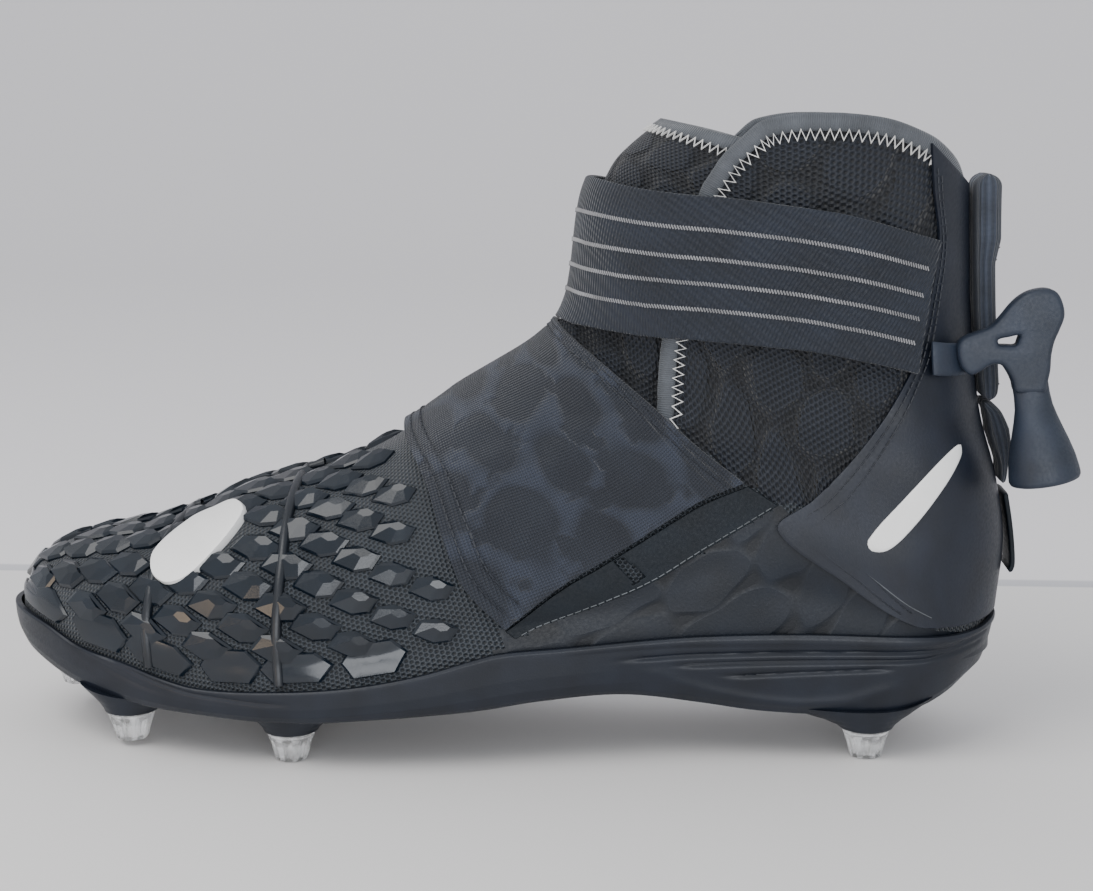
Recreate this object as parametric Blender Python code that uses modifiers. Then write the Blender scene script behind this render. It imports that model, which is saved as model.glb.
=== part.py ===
"""High-top american football cleat, left shoe, standing on seven screw-in studs.

Metres, +Z up. The toe points to -X, the lateral side is -Y and the medial side +Y.
The upper, tongue, straps and counter are all taken from one surface, the last, which is
a fan of sections: upright planes over the forefoot that swing round the instep until
they lie nearly level at the collar. The sole follows the same plan outline.
"""
import math
from collections import namedtuple

import bmesh
import bpy
import numpy as np
from mathutils import Matrix, Vector

# Driving sizes
SOLE_LENGTH = 0.305
BALL_WIDTH = 0.099
BODY_HEIGHT = 0.179
STUD_HEIGHT = 0.009
STUD_BASE_DIAMETER = 0.0142
STUD_TIP_DIAMETER = 0.0094
STUD_FLUTE_DEPTH = 0.0005
BOSS_DIAMETER = 0.0160
BOSS_FLARE = 0.0018
BOSS_ROOT = 0.0023

# Walls and layers
UPPER_WALL = 0.0020
LIP_WALL = 0.0018
INSOLE_THICKNESS = 0.0040
TONGUE_THICKNESS = 0.0026
COUNTER_THICKNESS = 0.0009
STRAP_THICKNESS = 0.0018
STRIP_THICKNESS = 0.0010
WEBBING_WIDTH = 0.0160
WEBBING_STANDOFF = 0.0072
LOOP_WIDTH = 0.0150
LOOP_THICKNESS = 0.0016
FLAP_THICKNESS = 0.0018
RUBBER_THICKNESS = 0.0070
ARM_THICKNESS = 0.0026
GRIP_DIAMETER = 0.0205
GRIP_LENGTH = 0.0290

# Clearances between pieces that touch on the real shoe
FLAT_GAP = 0.0003
CURVED_GAP = 0.0005
WIDE_BAND_GAP = 0.0008
COUNTER_GAP = 0.0009
COUNTER_RISE = 0.0022
LIP_GAP = 0.0009
INSOLE_GAP = 0.0020
INSOLE_SEAT = 0.0009

# Mesh fineness
LAST_ROWS = 40
LAST_COLUMNS = 26
SECTION_SAMPLES = 161
SOLE_POINTS = 64
TONGUE_ROWS = 10
TONGUE_COLUMNS = 12
STRAP_ROWS = 8
STRAP_COLUMNS = 24
ANKLE_ROWS = 5
ANKLE_COLUMNS = 26
STRIP_ROWS = 12
STRIP_COLUMNS = 2
COUNTER_ROWS = 15
COUNTER_COLUMNS = 22
ARM_ROWS = 5
ARM_COLUMNS = 3
WEBBING_STEPS = 7
STUD_SIDES = 16

# Ends of the sole, with the length centred on the origin
TOE_X = -SOLE_LENGTH / 2
HEEL_X = SOLE_LENGTH / 2
LATERAL = -1
MEDIAL = 1

# Plan outline: a row for each place along the sole. The centre line and the two half
# widths are shares of the ball width, before the toe and heel are rounded off.
Plan = namedtuple("Plan", "along centre lateral medial")
PLAN = [
    Plan(0.00, 0.071, 0.364, 0.293),
    Plan(0.08, 0.066, 0.419, 0.367),
    Plan(0.15, 0.056, 0.457, 0.399),
    Plan(0.22, 0.045, 0.500, 0.424),
    Plan(0.30, 0.032, 0.542, 0.442),
    Plan(0.38, 0.020, 0.545, 0.434),
    Plan(0.48, 0.008, 0.503, 0.376),
    Plan(0.58, 0.000, 0.434, 0.318),
    Plan(0.68, 0.000, 0.384, 0.298),
    Plan(0.78, 0.000, 0.364, 0.318),
    Plan(0.88, 0.000, 0.354, 0.338),
    Plan(1.00, 0.000, 0.343, 0.333),
]
TOE_ROUND = 0.22
HEEL_ROUND = 0.12
ROUND_POWER = 2.2

# Heights along the sole, as shares of the body height above the stud seats
Level = namedtuple("Level", "along height")
BOTTOM_LINE = [
    Level(0.000, 0.128), Level(0.025, 0.092), Level(0.047, 0.075), Level(0.090, 0.051),
    Level(0.140, 0.034), Level(0.215, 0.028), Level(0.316, 0.025), Level(0.393, 0.034),
    Level(0.495, 0.047), Level(0.552, 0.059), Level(0.630, 0.066), Level(0.708, 0.049),
    Level(0.756, 0.037), Level(0.804, 0.031), Level(0.861, 0.028), Level(0.900, 0.032),
    Level(0.926, 0.045), Level(0.947, 0.062), Level(0.968, 0.083), Level(1.000, 0.094),
]
RIM_LINE = [
    Level(0.000, 0.162), Level(0.025, 0.157), Level(0.057, 0.146), Level(0.097, 0.121),
    Level(0.156, 0.102), Level(0.187, 0.088), Level(0.230, 0.076), Level(0.311, 0.082),
    Level(0.379, 0.093), Level(0.444, 0.113), Level(0.490, 0.135), Level(0.518, 0.146),
    Level(0.574, 0.151), Level(0.659, 0.161), Level(0.707, 0.166), Level(0.801, 0.170),
    Level(0.896, 0.167), Level(0.946, 0.164), Level(0.979, 0.168), Level(1.000, 0.177),
]
BED_LINE = [
    Level(0.000, 0.137), Level(0.057, 0.122), Level(0.097, 0.098), Level(0.156, 0.078),
    Level(0.187, 0.064), Level(0.230, 0.053), Level(0.311, 0.056), Level(0.379, 0.067),
    Level(0.444, 0.084), Level(0.490, 0.098), Level(0.574, 0.112), Level(0.707, 0.118),
    Level(1.000, 0.118),
]

# Side wall of the sole: how high each line lies between bottom and rim, and how far in
# from the plan outline it is at the forefoot and at the ribbed heel, in metres
SideLine = namedtuple("SideLine", "up forefoot heel")
SIDE_LINES = [
    SideLine(0.00, 0.0040, 0.0060),
    SideLine(0.10, 0.0016, 0.0040),
    SideLine(0.26, 0.0006, 0.0030),
    SideLine(0.50, 0.0001, 0.0016),
    SideLine(0.565, 0.0002, 0.0025),
    SideLine(0.63, 0.0004, 0.0010),
    SideLine(0.70, 0.0011, 0.0021),
    SideLine(0.76, 0.0003, 0.0006),
    SideLine(0.82, 0.0000, 0.0016),
    SideLine(0.90, 0.0000, 0.0000),
    SideLine(1.00, 0.0005, 0.0005),
]
SPINE_INSET = 0.045
RIBS_START = 0.56
RIBS_FULL = 0.70

# Studs: place along and across the sole, and the tip's height over the floor
Stud = namedtuple("Stud", "name along across lift")
STUDS = [
    Stud("toe", 0.056, 0.095, 0.045),
    Stud("front_lateral", 0.146, -0.273, 0.010),
    Stud("front_medial", 0.127, 0.290, 0.010),
    Stud("ball_lateral", 0.313, -0.384, 0.0),
    Stud("ball_medial", 0.280, 0.350, 0.0),
    Stud("heel_lateral", 0.869, -0.240, 0.0),
    Stud("heel_medial", 0.869, 0.235, 0.0),
]

# Sections of the last. Each runs from the ridge (top) to the feather line or, once it is
# closed, to the back of the heel. along and back are shares of the sole length, up and
# rise are shares of the body height, rise being counted from the bed; lateral and medial
# scale the plan's half widths; crown_at and crown shape the top of the section, and
# end and end_power round its rear end. open_foot is 1 where the sole closes the section.
Section = namedtuple(
    "Section",
    "along up back rise lateral medial crown_at crown end end_power open_foot",
)
SECTIONS = [
    Section(0.0082, 0.137, 0.0082, 0.000, 1.00, 1.00, 0.80, 2.20, 0.120, 2.20, 1),
    Section(0.0108, 0.168, 0.0098, 0.000, 1.00, 1.00, 0.80, 2.20, 0.120, 2.20, 1),
    Section(0.0164, 0.196, 0.0154, 0.000, 1.01, 1.01, 0.80, 2.20, 0.120, 2.20, 1),
    Section(0.0295, 0.228, 0.0279, 0.000, 1.01, 1.01, 0.79, 2.25, 0.120, 2.20, 1),
    Section(0.0492, 0.252, 0.0475, 0.000, 1.02, 1.02, 0.78, 2.30, 0.120, 2.20, 1),
    Section(0.0754, 0.268, 0.0738, 0.000, 1.02, 1.02, 0.77, 2.35, 0.120, 2.20, 1),
    Section(0.1115, 0.283, 0.1115, 0.000, 1.02, 1.02, 0.76, 2.35, 0.120, 2.20, 1),
    Section(0.1574, 0.300, 0.1607, 0.000, 1.01, 1.01, 0.76, 2.35, 0.120, 2.20, 1),
    Section(0.2049, 0.329, 0.2115, 0.000, 1.00, 1.00, 0.76, 2.30, 0.120, 2.20, 1),
    Section(0.2574, 0.370, 0.2705, 0.000, 0.99, 0.99, 0.77, 2.20, 0.120, 2.20, 1),
    Section(0.3131, 0.394, 0.3361, 0.000, 0.98, 0.99, 0.78, 2.10, 0.120, 2.20, 1),
    Section(0.3689, 0.430, 0.4082, 0.000, 0.97, 0.99, 0.79, 2.00, 0.120, 2.20, 1),
    Section(0.4180, 0.478, 0.4869, 0.000, 0.97, 1.00, 0.80, 1.90, 0.120, 2.20, 1),
    Section(0.4639, 0.531, 0.5721, 0.000, 0.97, 1.01, 0.80, 1.85, 0.120, 2.20, 1),
    Section(0.5082, 0.577, 0.6639, 0.000, 0.98, 1.02, 0.79, 1.82, 0.120, 2.20, 1),
    Section(0.5426, 0.615, 0.7623, 0.000, 0.99, 1.03, 0.77, 1.82, 0.120, 2.20, 1),
    Section(0.5666, 0.654, 0.8541, 0.000, 0.99, 1.03, 0.74, 1.85, 0.120, 2.20, 1),
    Section(0.5780, 0.693, 0.9197, 0.000, 0.99, 1.03, 0.71, 1.88, 0.120, 2.20, 1),
    Section(0.5830, 0.732, 0.9623, 0.000, 0.99, 1.02, 0.67, 1.90, 0.120, 2.20, 1),
    Section(0.5859, 0.771, 0.9846, 0.000, 0.99, 1.01, 0.64, 1.95, 0.120, 2.20, 1),
    Section(0.5879, 0.804, 0.9900, 0.020, 0.99, 1.00, 0.62, 1.98, 0.120, 2.20, 1),
    Section(0.5902, 0.835, 0.9950, 0.084, 0.99, 1.02, 0.59, 2.00, 0.122, 2.18, 0),
    Section(0.5944, 0.869, 0.9990, 0.184, 1.00, 1.05, 0.57, 2.00, 0.126, 2.15, 0),
    Section(0.6016, 0.902, 0.9895, 0.285, 1.00, 1.08, 0.55, 2.02, 0.132, 2.10, 0),
    Section(0.6131, 0.936, 0.9721, 0.391, 1.00, 1.10, 0.53, 2.05, 0.140, 2.06, 0),
    Section(0.6295, 0.964, 0.9623, 0.514, 1.01, 1.11, 0.51, 2.08, 0.146, 2.03, 0),
    Section(0.6475, 0.989, 0.9574, 0.642, 1.02, 1.12, 0.50, 2.10, 0.150, 2.00, 0),
    Section(0.6656, 1.011, 0.9548, 0.760, 1.03, 1.13, 0.50, 2.10, 0.150, 2.00, 0),
    Section(0.6803, 1.039, 0.9548, 0.866, 1.04, 1.14, 0.50, 2.10, 0.150, 2.00, 0),
    Section(0.6902, 1.067, 0.9555, 0.950, 1.04, 1.14, 0.50, 2.10, 0.150, 2.00, 0),
]

# Side view of the collar line and the flaps' front edges, from the back of the heel over
# the ankle and down to the throat, with the way round through the open air last
SidePoint = namedtuple("SidePoint", "along up")
COLLAR_LINE = [
    SidePoint(0.985, 0.874), SidePoint(0.956, 0.886), SidePoint(0.951, 0.904),
    SidePoint(0.941, 0.929), SidePoint(0.922, 0.957), SidePoint(0.906, 0.971),
    SidePoint(0.881, 0.987), SidePoint(0.862, 0.994), SidePoint(0.834, 0.999),
    SidePoint(0.812, 1.000), SidePoint(0.790, 0.999), SidePoint(0.768, 0.993),
    SidePoint(0.754, 0.985), SidePoint(0.737, 0.959), SidePoint(0.723, 0.936),
    SidePoint(0.712, 0.908), SidePoint(0.703, 0.882), SidePoint(0.686, 0.770),
    SidePoint(0.669, 0.648), SidePoint(0.665, 0.570), SidePoint(0.664, 0.525),
    SidePoint(0.655, 0.497), SidePoint(0.640, 0.489), SidePoint(0.600, 0.500),
    SidePoint(0.560, 0.530), SidePoint(0.515, 0.578),
]
OPEN_AIR = [
    SidePoint(0.480, 0.640), SidePoint(0.500, 1.150), SidePoint(1.060, 1.150),
    SidePoint(1.060, 0.874),
]
CUTTER_HALF_WIDTH = 0.080

# Middle of the foot, which every skin faces away from
INSTEP = SidePoint(0.62, 0.45)
FOOT_AXIS_UP = 0.10
ANKLE_AXIS = 0.80
HEEL_AXIS = 0.85

# Side view of each overlay's edges, from the ridge (or the back of the heel) outwards
STRAP_FRONT = [
    SidePoint(0.415, 0.473), SidePoint(0.445, 0.403), SidePoint(0.462, 0.331),
    SidePoint(0.482, 0.254), SidePoint(0.521, 0.185),
]
STRAP_REAR = [
    SidePoint(0.566, 0.655), SidePoint(0.609, 0.602), SidePoint(0.657, 0.538),
    SidePoint(0.704, 0.470), SidePoint(0.746, 0.417),
]
SEAM_SHARE = 0.010
STRIP_LOWER = [
    SidePoint(0.532, 0.167), SidePoint(0.557, 0.188), SidePoint(0.612, 0.221),
    SidePoint(0.659, 0.254), SidePoint(0.705, 0.302), SidePoint(0.747, 0.346),
    SidePoint(0.778, 0.381),
]
SLOT = [
    SidePoint(0.6235, 0.291), SidePoint(0.6335, 0.297), SidePoint(0.654, 0.264),
    SidePoint(0.643, 0.252),
]
ANKLE_TOP = [
    SidePoint(0.595, 0.897), SidePoint(0.655, 0.880), SidePoint(0.746, 0.868),
    SidePoint(0.837, 0.844), SidePoint(0.918, 0.802),
]
ANKLE_BOTTOM = [
    SidePoint(0.568, 0.657), SidePoint(0.656, 0.649), SidePoint(0.757, 0.640),
    SidePoint(0.840, 0.621), SidePoint(0.901, 0.592),
]
COUNTER_FRONT = [
    SidePoint(0.928, 0.173), SidePoint(0.893, 0.236), SidePoint(0.845, 0.304),
    SidePoint(0.778, 0.382), SidePoint(0.810, 0.421), SidePoint(0.843, 0.471),
    SidePoint(0.870, 0.526), SidePoint(0.888, 0.573), SidePoint(0.902, 0.619),
    SidePoint(0.914, 0.710), SidePoint(0.921, 0.803), SidePoint(0.915, 0.880),
    SidePoint(0.911, 0.955),
]
COUNTER_BACK = [0.190, 0.884]
RIM_FADE = 4
TONGUE_EDGE = [SidePoint(0.620, 0.440), SidePoint(0.700, 0.640), SidePoint(0.762, 0.950)]
TONGUE_RIDGE = [SidePoint(0.490, 0.557), SidePoint(0.583, 0.735), SidePoint(0.660, 1.004)]

# Heel trims in side view, top to bottom: heights, and how far their outer faces stand
# out from the counter, in metres
WEBBING_TOP = 0.898
WEBBING_FOOT = 0.534
WEBBING_EASE = 0.55
WEBBING_ROUNDING = 0.0012
Standoff = namedtuple("Standoff", "up out")
LOOP_PATH = [
    Standoff(0.530, 0.0021), Standoff(0.512, 0.0058), Standoff(0.480, 0.0072),
    Standoff(0.446, 0.0062), Standoff(0.415, 0.0036), Standoff(0.395, 0.0021),
]
FLAP_PATH = [
    Standoff(0.378, 0.0023), Standoff(0.334, 0.0024), Standoff(0.291, 0.0029),
    Standoff(0.256, 0.0036), Standoff(0.243, 0.0031),
]

# Rubber pull in side view
LINK_OUTLINE = [
    SidePoint(0.9490, 0.643), SidePoint(0.9640, 0.645), SidePoint(0.9800, 0.694),
    SidePoint(1.0040, 0.722), SidePoint(1.0300, 0.725), SidePoint(1.0410, 0.700),
    SidePoint(1.0420, 0.667), SidePoint(1.0335, 0.635), SidePoint(1.0310, 0.572),
    SidePoint(0.9970, 0.560), SidePoint(1.0060, 0.600), SidePoint(1.0030, 0.617),
    SidePoint(0.9860, 0.608), SidePoint(0.9720, 0.592), SidePoint(0.9600, 0.585),
    SidePoint(0.9490, 0.590),
]
LINK_HOLE = [
    SidePoint(0.9830, 0.644), SidePoint(1.0020, 0.651), SidePoint(1.0000, 0.636),
    SidePoint(0.9840, 0.637),
]
LINK_ACROSS = -0.235
GRIP_TOP = SidePoint(1.0130, 0.575)
GRIP_LEAN = math.radians(11)
Grip = namedtuple("Grip", "down radius")
GRIP_PROFILE = [
    Grip(-0.10, 0.38), Grip(0.12, 0.40), Grip(0.30, 0.52), Grip(0.50, 0.78),
    Grip(0.70, 0.92), Grip(0.92, 1.00), Grip(1.00, 0.90),
]
ARM_FRONT = [SidePoint(0.912, 0.643), SidePoint(0.917, 0.600)]
ARM_REAR = [SidePoint(0.9540, 0.640), SidePoint(0.9535, 0.592)]

FINISHES = {
    "plate": ((0.012, 0.013, 0.015), 0.45, 0.0),
    "stud": ((0.80, 0.82, 0.82), 0.08, 0.0),
    "textile": ((0.018, 0.019, 0.022), 0.85, 0.0),
    "strap": ((0.024, 0.025, 0.027), 0.90, 0.0),
    "leather": ((0.014, 0.015, 0.018), 0.55, 0.0),
    "rubber": ((0.020, 0.020, 0.022), 0.65, 0.0),
    "foam": ((0.050, 0.050, 0.052), 0.90, 0.0),
}


def smooth_table(xs, ys, x):
    """Values at x on a smooth curve through the rows of a table."""
    xs = np.asarray(xs, float)
    ys = np.asarray(ys, float)
    x = np.clip(np.asarray(x, float), xs[0], xs[-1])
    slopes = np.empty_like(ys)
    slopes[1:-1] = (ys[2:] - ys[:-2]) / (xs[2:] - xs[:-2])
    slopes[0] = (ys[1] - ys[0]) / (xs[1] - xs[0])
    slopes[-1] = (ys[-1] - ys[-2]) / (xs[-1] - xs[-2])
    i = np.clip(np.searchsorted(xs, x, side="right") - 1, 0, len(xs) - 2)
    step = xs[i + 1] - xs[i]
    t = (x - xs[i]) / step
    start = ys[i] * (1 + 2 * t) * (1 - t) ** 2 + slopes[i] * step * t * (1 - t) ** 2
    end = ys[i + 1] * t * t * (3 - 2 * t) - slopes[i + 1] * step * t * t * (1 - t)
    return start + end


def column(rows, name):
    """One named column of a table."""
    return [getattr(row, name) for row in rows]


def along(share):
    """x of a share of the sole length, counted from the toe."""
    return TOE_X + share * SOLE_LENGTH


def up(share):
    """z of a share of the body height, counted from the stud seats."""
    return STUD_HEIGHT + share * BODY_HEIGHT


def level(line, x):
    """Height of a line of the sole at x."""
    share = (np.asarray(x, float) - TOE_X) / SOLE_LENGTH
    return up(smooth_table(column(line, "along"), column(line, "height"), share))


def round_end(share, power):
    """Rise from 0 to 1 along a rounded corner."""
    inner = 1 - np.clip(share, 0, 1)
    return (1 - inner**power) ** (1 / power)


def half_width(x, side, inset):
    """Distance from the centre line to the plan outline, before its ends are rounded."""
    share = (np.asarray(x, float) - TOE_X) / SOLE_LENGTH
    name = "medial" if side > 0 else "lateral"
    half = smooth_table(column(PLAN, "along"), column(PLAN, name), share) * BALL_WIDTH
    return half - inset


def centre_line(x):
    """y of the sole's centre line at x."""
    share = (np.asarray(x, float) - TOE_X) / SOLE_LENGTH
    return smooth_table(column(PLAN, "along"), column(PLAN, "centre"), share) * BALL_WIDTH


def plan_edge(x, side, inset):
    """y of the plan outline at x, moved in from the edge by inset."""
    length = SOLE_LENGTH - 2 * inset
    from_toe = (x - TOE_X - inset) / length
    caps = round_end(from_toe / TOE_ROUND, ROUND_POWER)
    caps = caps * round_end((1 - from_toe) / HEEL_ROUND, ROUND_POWER)
    return centre_line(x) + side * half_width(x, side, inset) * caps


UPPER_INSET = LIP_WALL + LIP_GAP
SETTLE_SHARE = 0.55
EDGE_STEPS = 61


class Last:
    """The outer surface of the upper, sampled once as a grid for each side.

    s counts the sections from the toe and v runs from the ridge, 0, to the feather line
    or the back of the heel, 1, by distance along the surface.
    """

    S_STEPS = 8
    V_STEPS = 80

    def __init__(self):
        self.s = np.linspace(0, len(SECTIONS) - 1, (len(SECTIONS) - 1) * self.S_STEPS + 1)
        rows = {name: self.rows(name) for name in Section._fields}
        self.top = np.stack([along(rows["along"]), up(rows["up"])], axis=1)
        back_x = along(rows["back"])
        back_z = level(BED_LINE, back_x) + FLAT_GAP + rows["rise"] * BODY_HEIGHT
        self.bottom = np.stack([back_x, back_z], axis=1)
        self.top[0, 1] = self.bottom[0, 1]
        self.shape = rows
        self.v = np.linspace(0, 1, self.V_STEPS + 1)
        self.points = {}
        self.depth = {}
        for side in (LATERAL, MEDIAL):
            self.points[side], self.depth[side] = self.sample(side)
        self.normals = {side: self.find_normals(side) for side in (LATERAL, MEDIAL)}

    def rows(self, name):
        """One column of the sections at every sampled s."""
        values = column(SECTIONS, name)
        if name == "open_foot":
            return np.interp(self.s, range(len(SECTIONS)), values)
        return smooth_table(range(len(SECTIONS)), values, self.s)

    def section(self, i, h, side):
        """Points of section i at the shares h of the way from top to bottom."""
        row = {name: values[i] for name, values in self.shape.items()}
        x = self.top[i, 0] + (self.bottom[i, 0] - self.top[i, 0]) * h
        z = self.top[i, 1] + (self.bottom[i, 1] - self.top[i, 1]) * h
        toe = round_end((x - TOE_X - UPPER_INSET) / (TOE_ROUND * SOLE_LENGTH), ROUND_POWER)
        inner_heel = HEEL_X - UPPER_INSET
        on_sole = row["open_foot"] > 0.5
        end_x = max(inner_heel, self.bottom[i, 0]) if on_sole else self.bottom[i, 0]
        heel = round_end((end_x - x) / (row["end"] * SOLE_LENGTH), row["end_power"])
        crown = round_end(h / row["crown_at"], row["crown"])
        reach = row["medial"] if side > 0 else row["lateral"]
        settled_at = row["crown_at"] + SETTLE_SHARE * (1 - row["crown_at"])
        below = np.clip((h - row["crown_at"]) / (settled_at - row["crown_at"]), 0, 1)
        settle = row["open_foot"] * below * below * (3 - 2 * below)
        scale = reach + (1 - reach) * settle
        y = half_width(x, side, UPPER_INSET) * toe * heel * crown * scale
        return np.stack([x, centre_line(x) + side * y, z], axis=1)

    def sample(self, side):
        """Grid of points evenly spaced along each section, and their share h."""
        h = (1 - np.cos(np.pi * np.linspace(0, 1, SECTION_SAMPLES))) / 2
        grid = np.empty((len(self.s), len(self.v), 3))
        depth = np.empty((len(self.s), len(self.v)))
        for i in range(len(self.s)):
            line = self.section(i, h, side)
            steps = np.linalg.norm(np.diff(line, axis=0), axis=1)
            way = np.concatenate([[0], np.cumsum(steps)])
            way = way / way[-1] if way[-1] > 0 else h
            depth[i] = np.interp(self.v, way, h)
            for axis in range(3):
                grid[i, :, axis] = np.interp(self.v, way, line[:, axis])
        return grid, depth

    def find_normals(self, side):
        """Outward unit normals of the grid."""
        grid = self.points[side]
        other = self.points[-side]
        wide = np.concatenate([other[:, 2:0:-1], grid, other[:, -2:-4:-1]], axis=1)
        open_rows = self.shape["open_foot"] > 0.5
        wide[open_rows, -2:] = 2 * grid[open_rows, -1:] - grid[open_rows, -2:-4:-1]
        du = np.gradient(wide, axis=0)
        dv = np.gradient(wide, axis=1)
        normal = np.cross(dv, du)[:, 2:-2] * -side
        length = np.linalg.norm(normal, axis=2, keepdims=True)
        normal = normal / np.maximum(length, 1e-12)
        normal[0] = (-1, 0, 0)
        return normal

    def at(self, s, v, side, lift=0.0):
        """Point of the surface, moved out along its normal by lift."""
        s = min(max(s, 0), self.s[-1]) * self.S_STEPS
        v = min(max(v, 0), 1) * self.V_STEPS
        i = min(int(s), len(self.s) - 2)
        j = min(int(v), len(self.v) - 2)
        a, b = s - i, v - j
        weights = ((1 - a) * (1 - b), a * (1 - b), (1 - a) * b, a * b)
        corners = ((i, j), (i + 1, j), (i, j + 1), (i + 1, j + 1))
        point = sum(w * self.points[side][c] for w, c in zip(weights, corners))
        normal = sum(w * self.normals[side][c] for w, c in zip(weights, corners))
        return Vector(point + lift * normal / max(np.linalg.norm(normal), 1e-9))

    def find(self, place, side):
        """s and v of the surface point that a place in side view lies on."""
        here = np.array([along(place.along), up(place.up)])
        run = self.bottom - self.top
        offset = here - self.top
        cross = run[:, 0] * offset[:, 1] - run[:, 1] * offset[:, 0]
        swaps = np.nonzero((cross[1:-1] > 0) & (cross[2:] <= 0))[0] + 1
        i = int(swaps[0]) if len(swaps) else len(self.s) - 2
        share = cross[i] / (cross[i] - cross[i + 1]) if len(swaps) else 0.0
        s = (i + share) / self.S_STEPS
        top = self.top[i] + (self.top[i + 1] - self.top[i]) * share
        bottom = self.bottom[i] + (self.bottom[i + 1] - self.bottom[i]) * share
        line = bottom - top
        h = float(np.clip(np.dot(here - top, line) / np.dot(line, line), 0, 1))
        return s, float(np.interp(h, self.depth[side][i], self.v))

    def back_row(self, share):
        """s of the section that reaches the back of the heel at a height share."""
        height = up(share)
        i = int(np.argmax(self.bottom[:, 1] > height))
        low, high = self.bottom[i - 1, 1], self.bottom[i, 1]
        return (i - 1 + (height - low) / (high - low)) / self.S_STEPS

    def back_share(self, share):
        """Place along the sole of the back of the heel at a height share."""
        x = float(np.interp(self.back_row(share), self.s, self.bottom[:, 0]))
        return (x - TOE_X) / SOLE_LENGTH

    def edge(self, places, side, end=None):
        """s and v evenly spaced along an edge given in side view; end pins the first v."""
        found = np.array([self.find(place, side) for place in places])
        if end is not None:
            found[0, 1] = end
        way = self.way([self.at(s, v, side) for s, v in found])
        fine = np.linspace(0, 1, EDGE_STEPS)
        s_line = smooth_table(way, found[:, 0], fine)
        v_line = smooth_table(way, found[:, 1], fine)
        even = self.way([self.at(s, v, side) for s, v in zip(s_line, v_line)])
        return lambda w: (
            float(np.interp(w, even, s_line)), float(np.interp(w, even, v_line))
        )

    @staticmethod
    def way(points):
        """Share of the distance along a line of points."""
        steps = [(b - a).length for a, b in zip(points, points[1:])]
        return np.concatenate([[0], np.cumsum(steps)]) / sum(steps)


def make_material(finish):
    """Principled material of one of the named finishes."""
    material = bpy.data.materials.get(finish)
    if material is None:
        colour, roughness, metallic = FINISHES[finish]
        material = bpy.data.materials.new(finish)
        material.use_nodes = True
        shader = material.node_tree.nodes["Principled BSDF"]
        shader.inputs["Base Color"].default_value = (*colour, 1)
        shader.inputs["Roughness"].default_value = roughness
        shader.inputs["Metallic"].default_value = metallic
    return material


def add_object(name, bm, finish, collection):
    """Object with a bmesh's faces, shaded smooth except at sharp edges."""
    mesh = bpy.data.meshes.new(name)
    bm.to_mesh(mesh)
    bm.free()
    mesh.shade_smooth()
    mesh.set_sharp_from_angle(angle=math.radians(40))
    obj = bpy.data.objects.new(name, mesh)
    if finish:
        mesh.materials.append(make_material(finish))
    else:
        obj.hide_render = True
        obj.display_type = "WIRE"
    collection.objects.link(obj)
    return obj


def new_collection(name):
    """Collection linked to the scene."""
    collection = bpy.data.collections.new(name)
    bpy.context.scene.collection.children.link(collection)
    return collection


def mapped_grid(rows, columns, place):
    """Grid whose vertices are moved to place(u, w), with u along the rows."""
    bm = bmesh.new()
    bmesh.ops.create_grid(bm, x_segments=rows, y_segments=columns, size=0.5)
    for vert in bm.verts:
        vert.co = place(vert.co.x + 0.5, vert.co.y + 0.5)
    bmesh.ops.remove_doubles(bm, verts=bm.verts, dist=0.00001)
    return bm


def thicken(obj, thickness, offset):
    """Give an open surface its wall, outwards with offset 1 or inwards with -1."""
    wall = obj.modifiers.new("Wall", "SOLIDIFY")
    wall.thickness = thickness
    wall.offset = offset
    wall.use_even_offset = True
    wall.use_quality_normals = True


def combine(obj, other, operation):
    """Boolean of obj with another object."""
    cut = obj.modifiers.new(operation.title(), "BOOLEAN")
    cut.operation = operation
    cut.object = other
    cut.solver = "EXACT"


def side_outline(name, places, y_centre, width, finish, collection):
    """Solid with an outline drawn in side view, width across."""
    curve = bpy.data.curves.new(name, "CURVE")
    curve.dimensions = "2D"
    curve.fill_mode = "BOTH"
    curve.extrude = width / 2
    spline = curve.splines.new("POLY")
    spline.points.add(len(places) - 1)
    for point, (x, z) in zip(spline.points, places):
        point.co = (x, z, 0, 1)
    spline.use_cyclic_u = True
    flat = bpy.data.objects.new(name, curve)
    collection.objects.link(flat)
    bpy.context.view_layer.update()
    depsgraph = bpy.context.evaluated_depsgraph_get()
    mesh = bpy.data.meshes.new_from_object(flat.evaluated_get(depsgraph))
    bpy.data.objects.remove(flat)
    bm = bmesh.new()
    bm.from_mesh(mesh)
    bpy.data.meshes.remove(mesh)
    bmesh.ops.remove_doubles(bm, verts=bm.verts, dist=0.00001)
    turn = Matrix.Translation((0, y_centre, 0)) @ Matrix.Rotation(math.pi / 2, 4, "X")
    bmesh.ops.transform(bm, matrix=turn, verts=bm.verts)
    bmesh.ops.recalc_face_normals(bm, faces=bm.faces)
    return add_object(name, bm, finish, collection)


def flat_places(places):
    """Side view places in metres."""
    return [(along(p.along), up(p.up)) for p in places]


def strip_outline(last, path, thickness):
    """Closed outline of a strip behind the heel, laid inwards from its outer path."""
    points = [Vector((heel_face(last, p.up) + p.out, up(p.up))) for p in path]
    inner = []
    for i, point in enumerate(points):
        run = points[min(i + 1, len(points) - 1)] - points[max(i - 1, 0)]
        inward = Vector((run.y, -run.x)).normalized()
        inner.append(point + inward * thickness)
    return [tuple(p) for p in points] + [tuple(p) for p in reversed(inner)]


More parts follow.
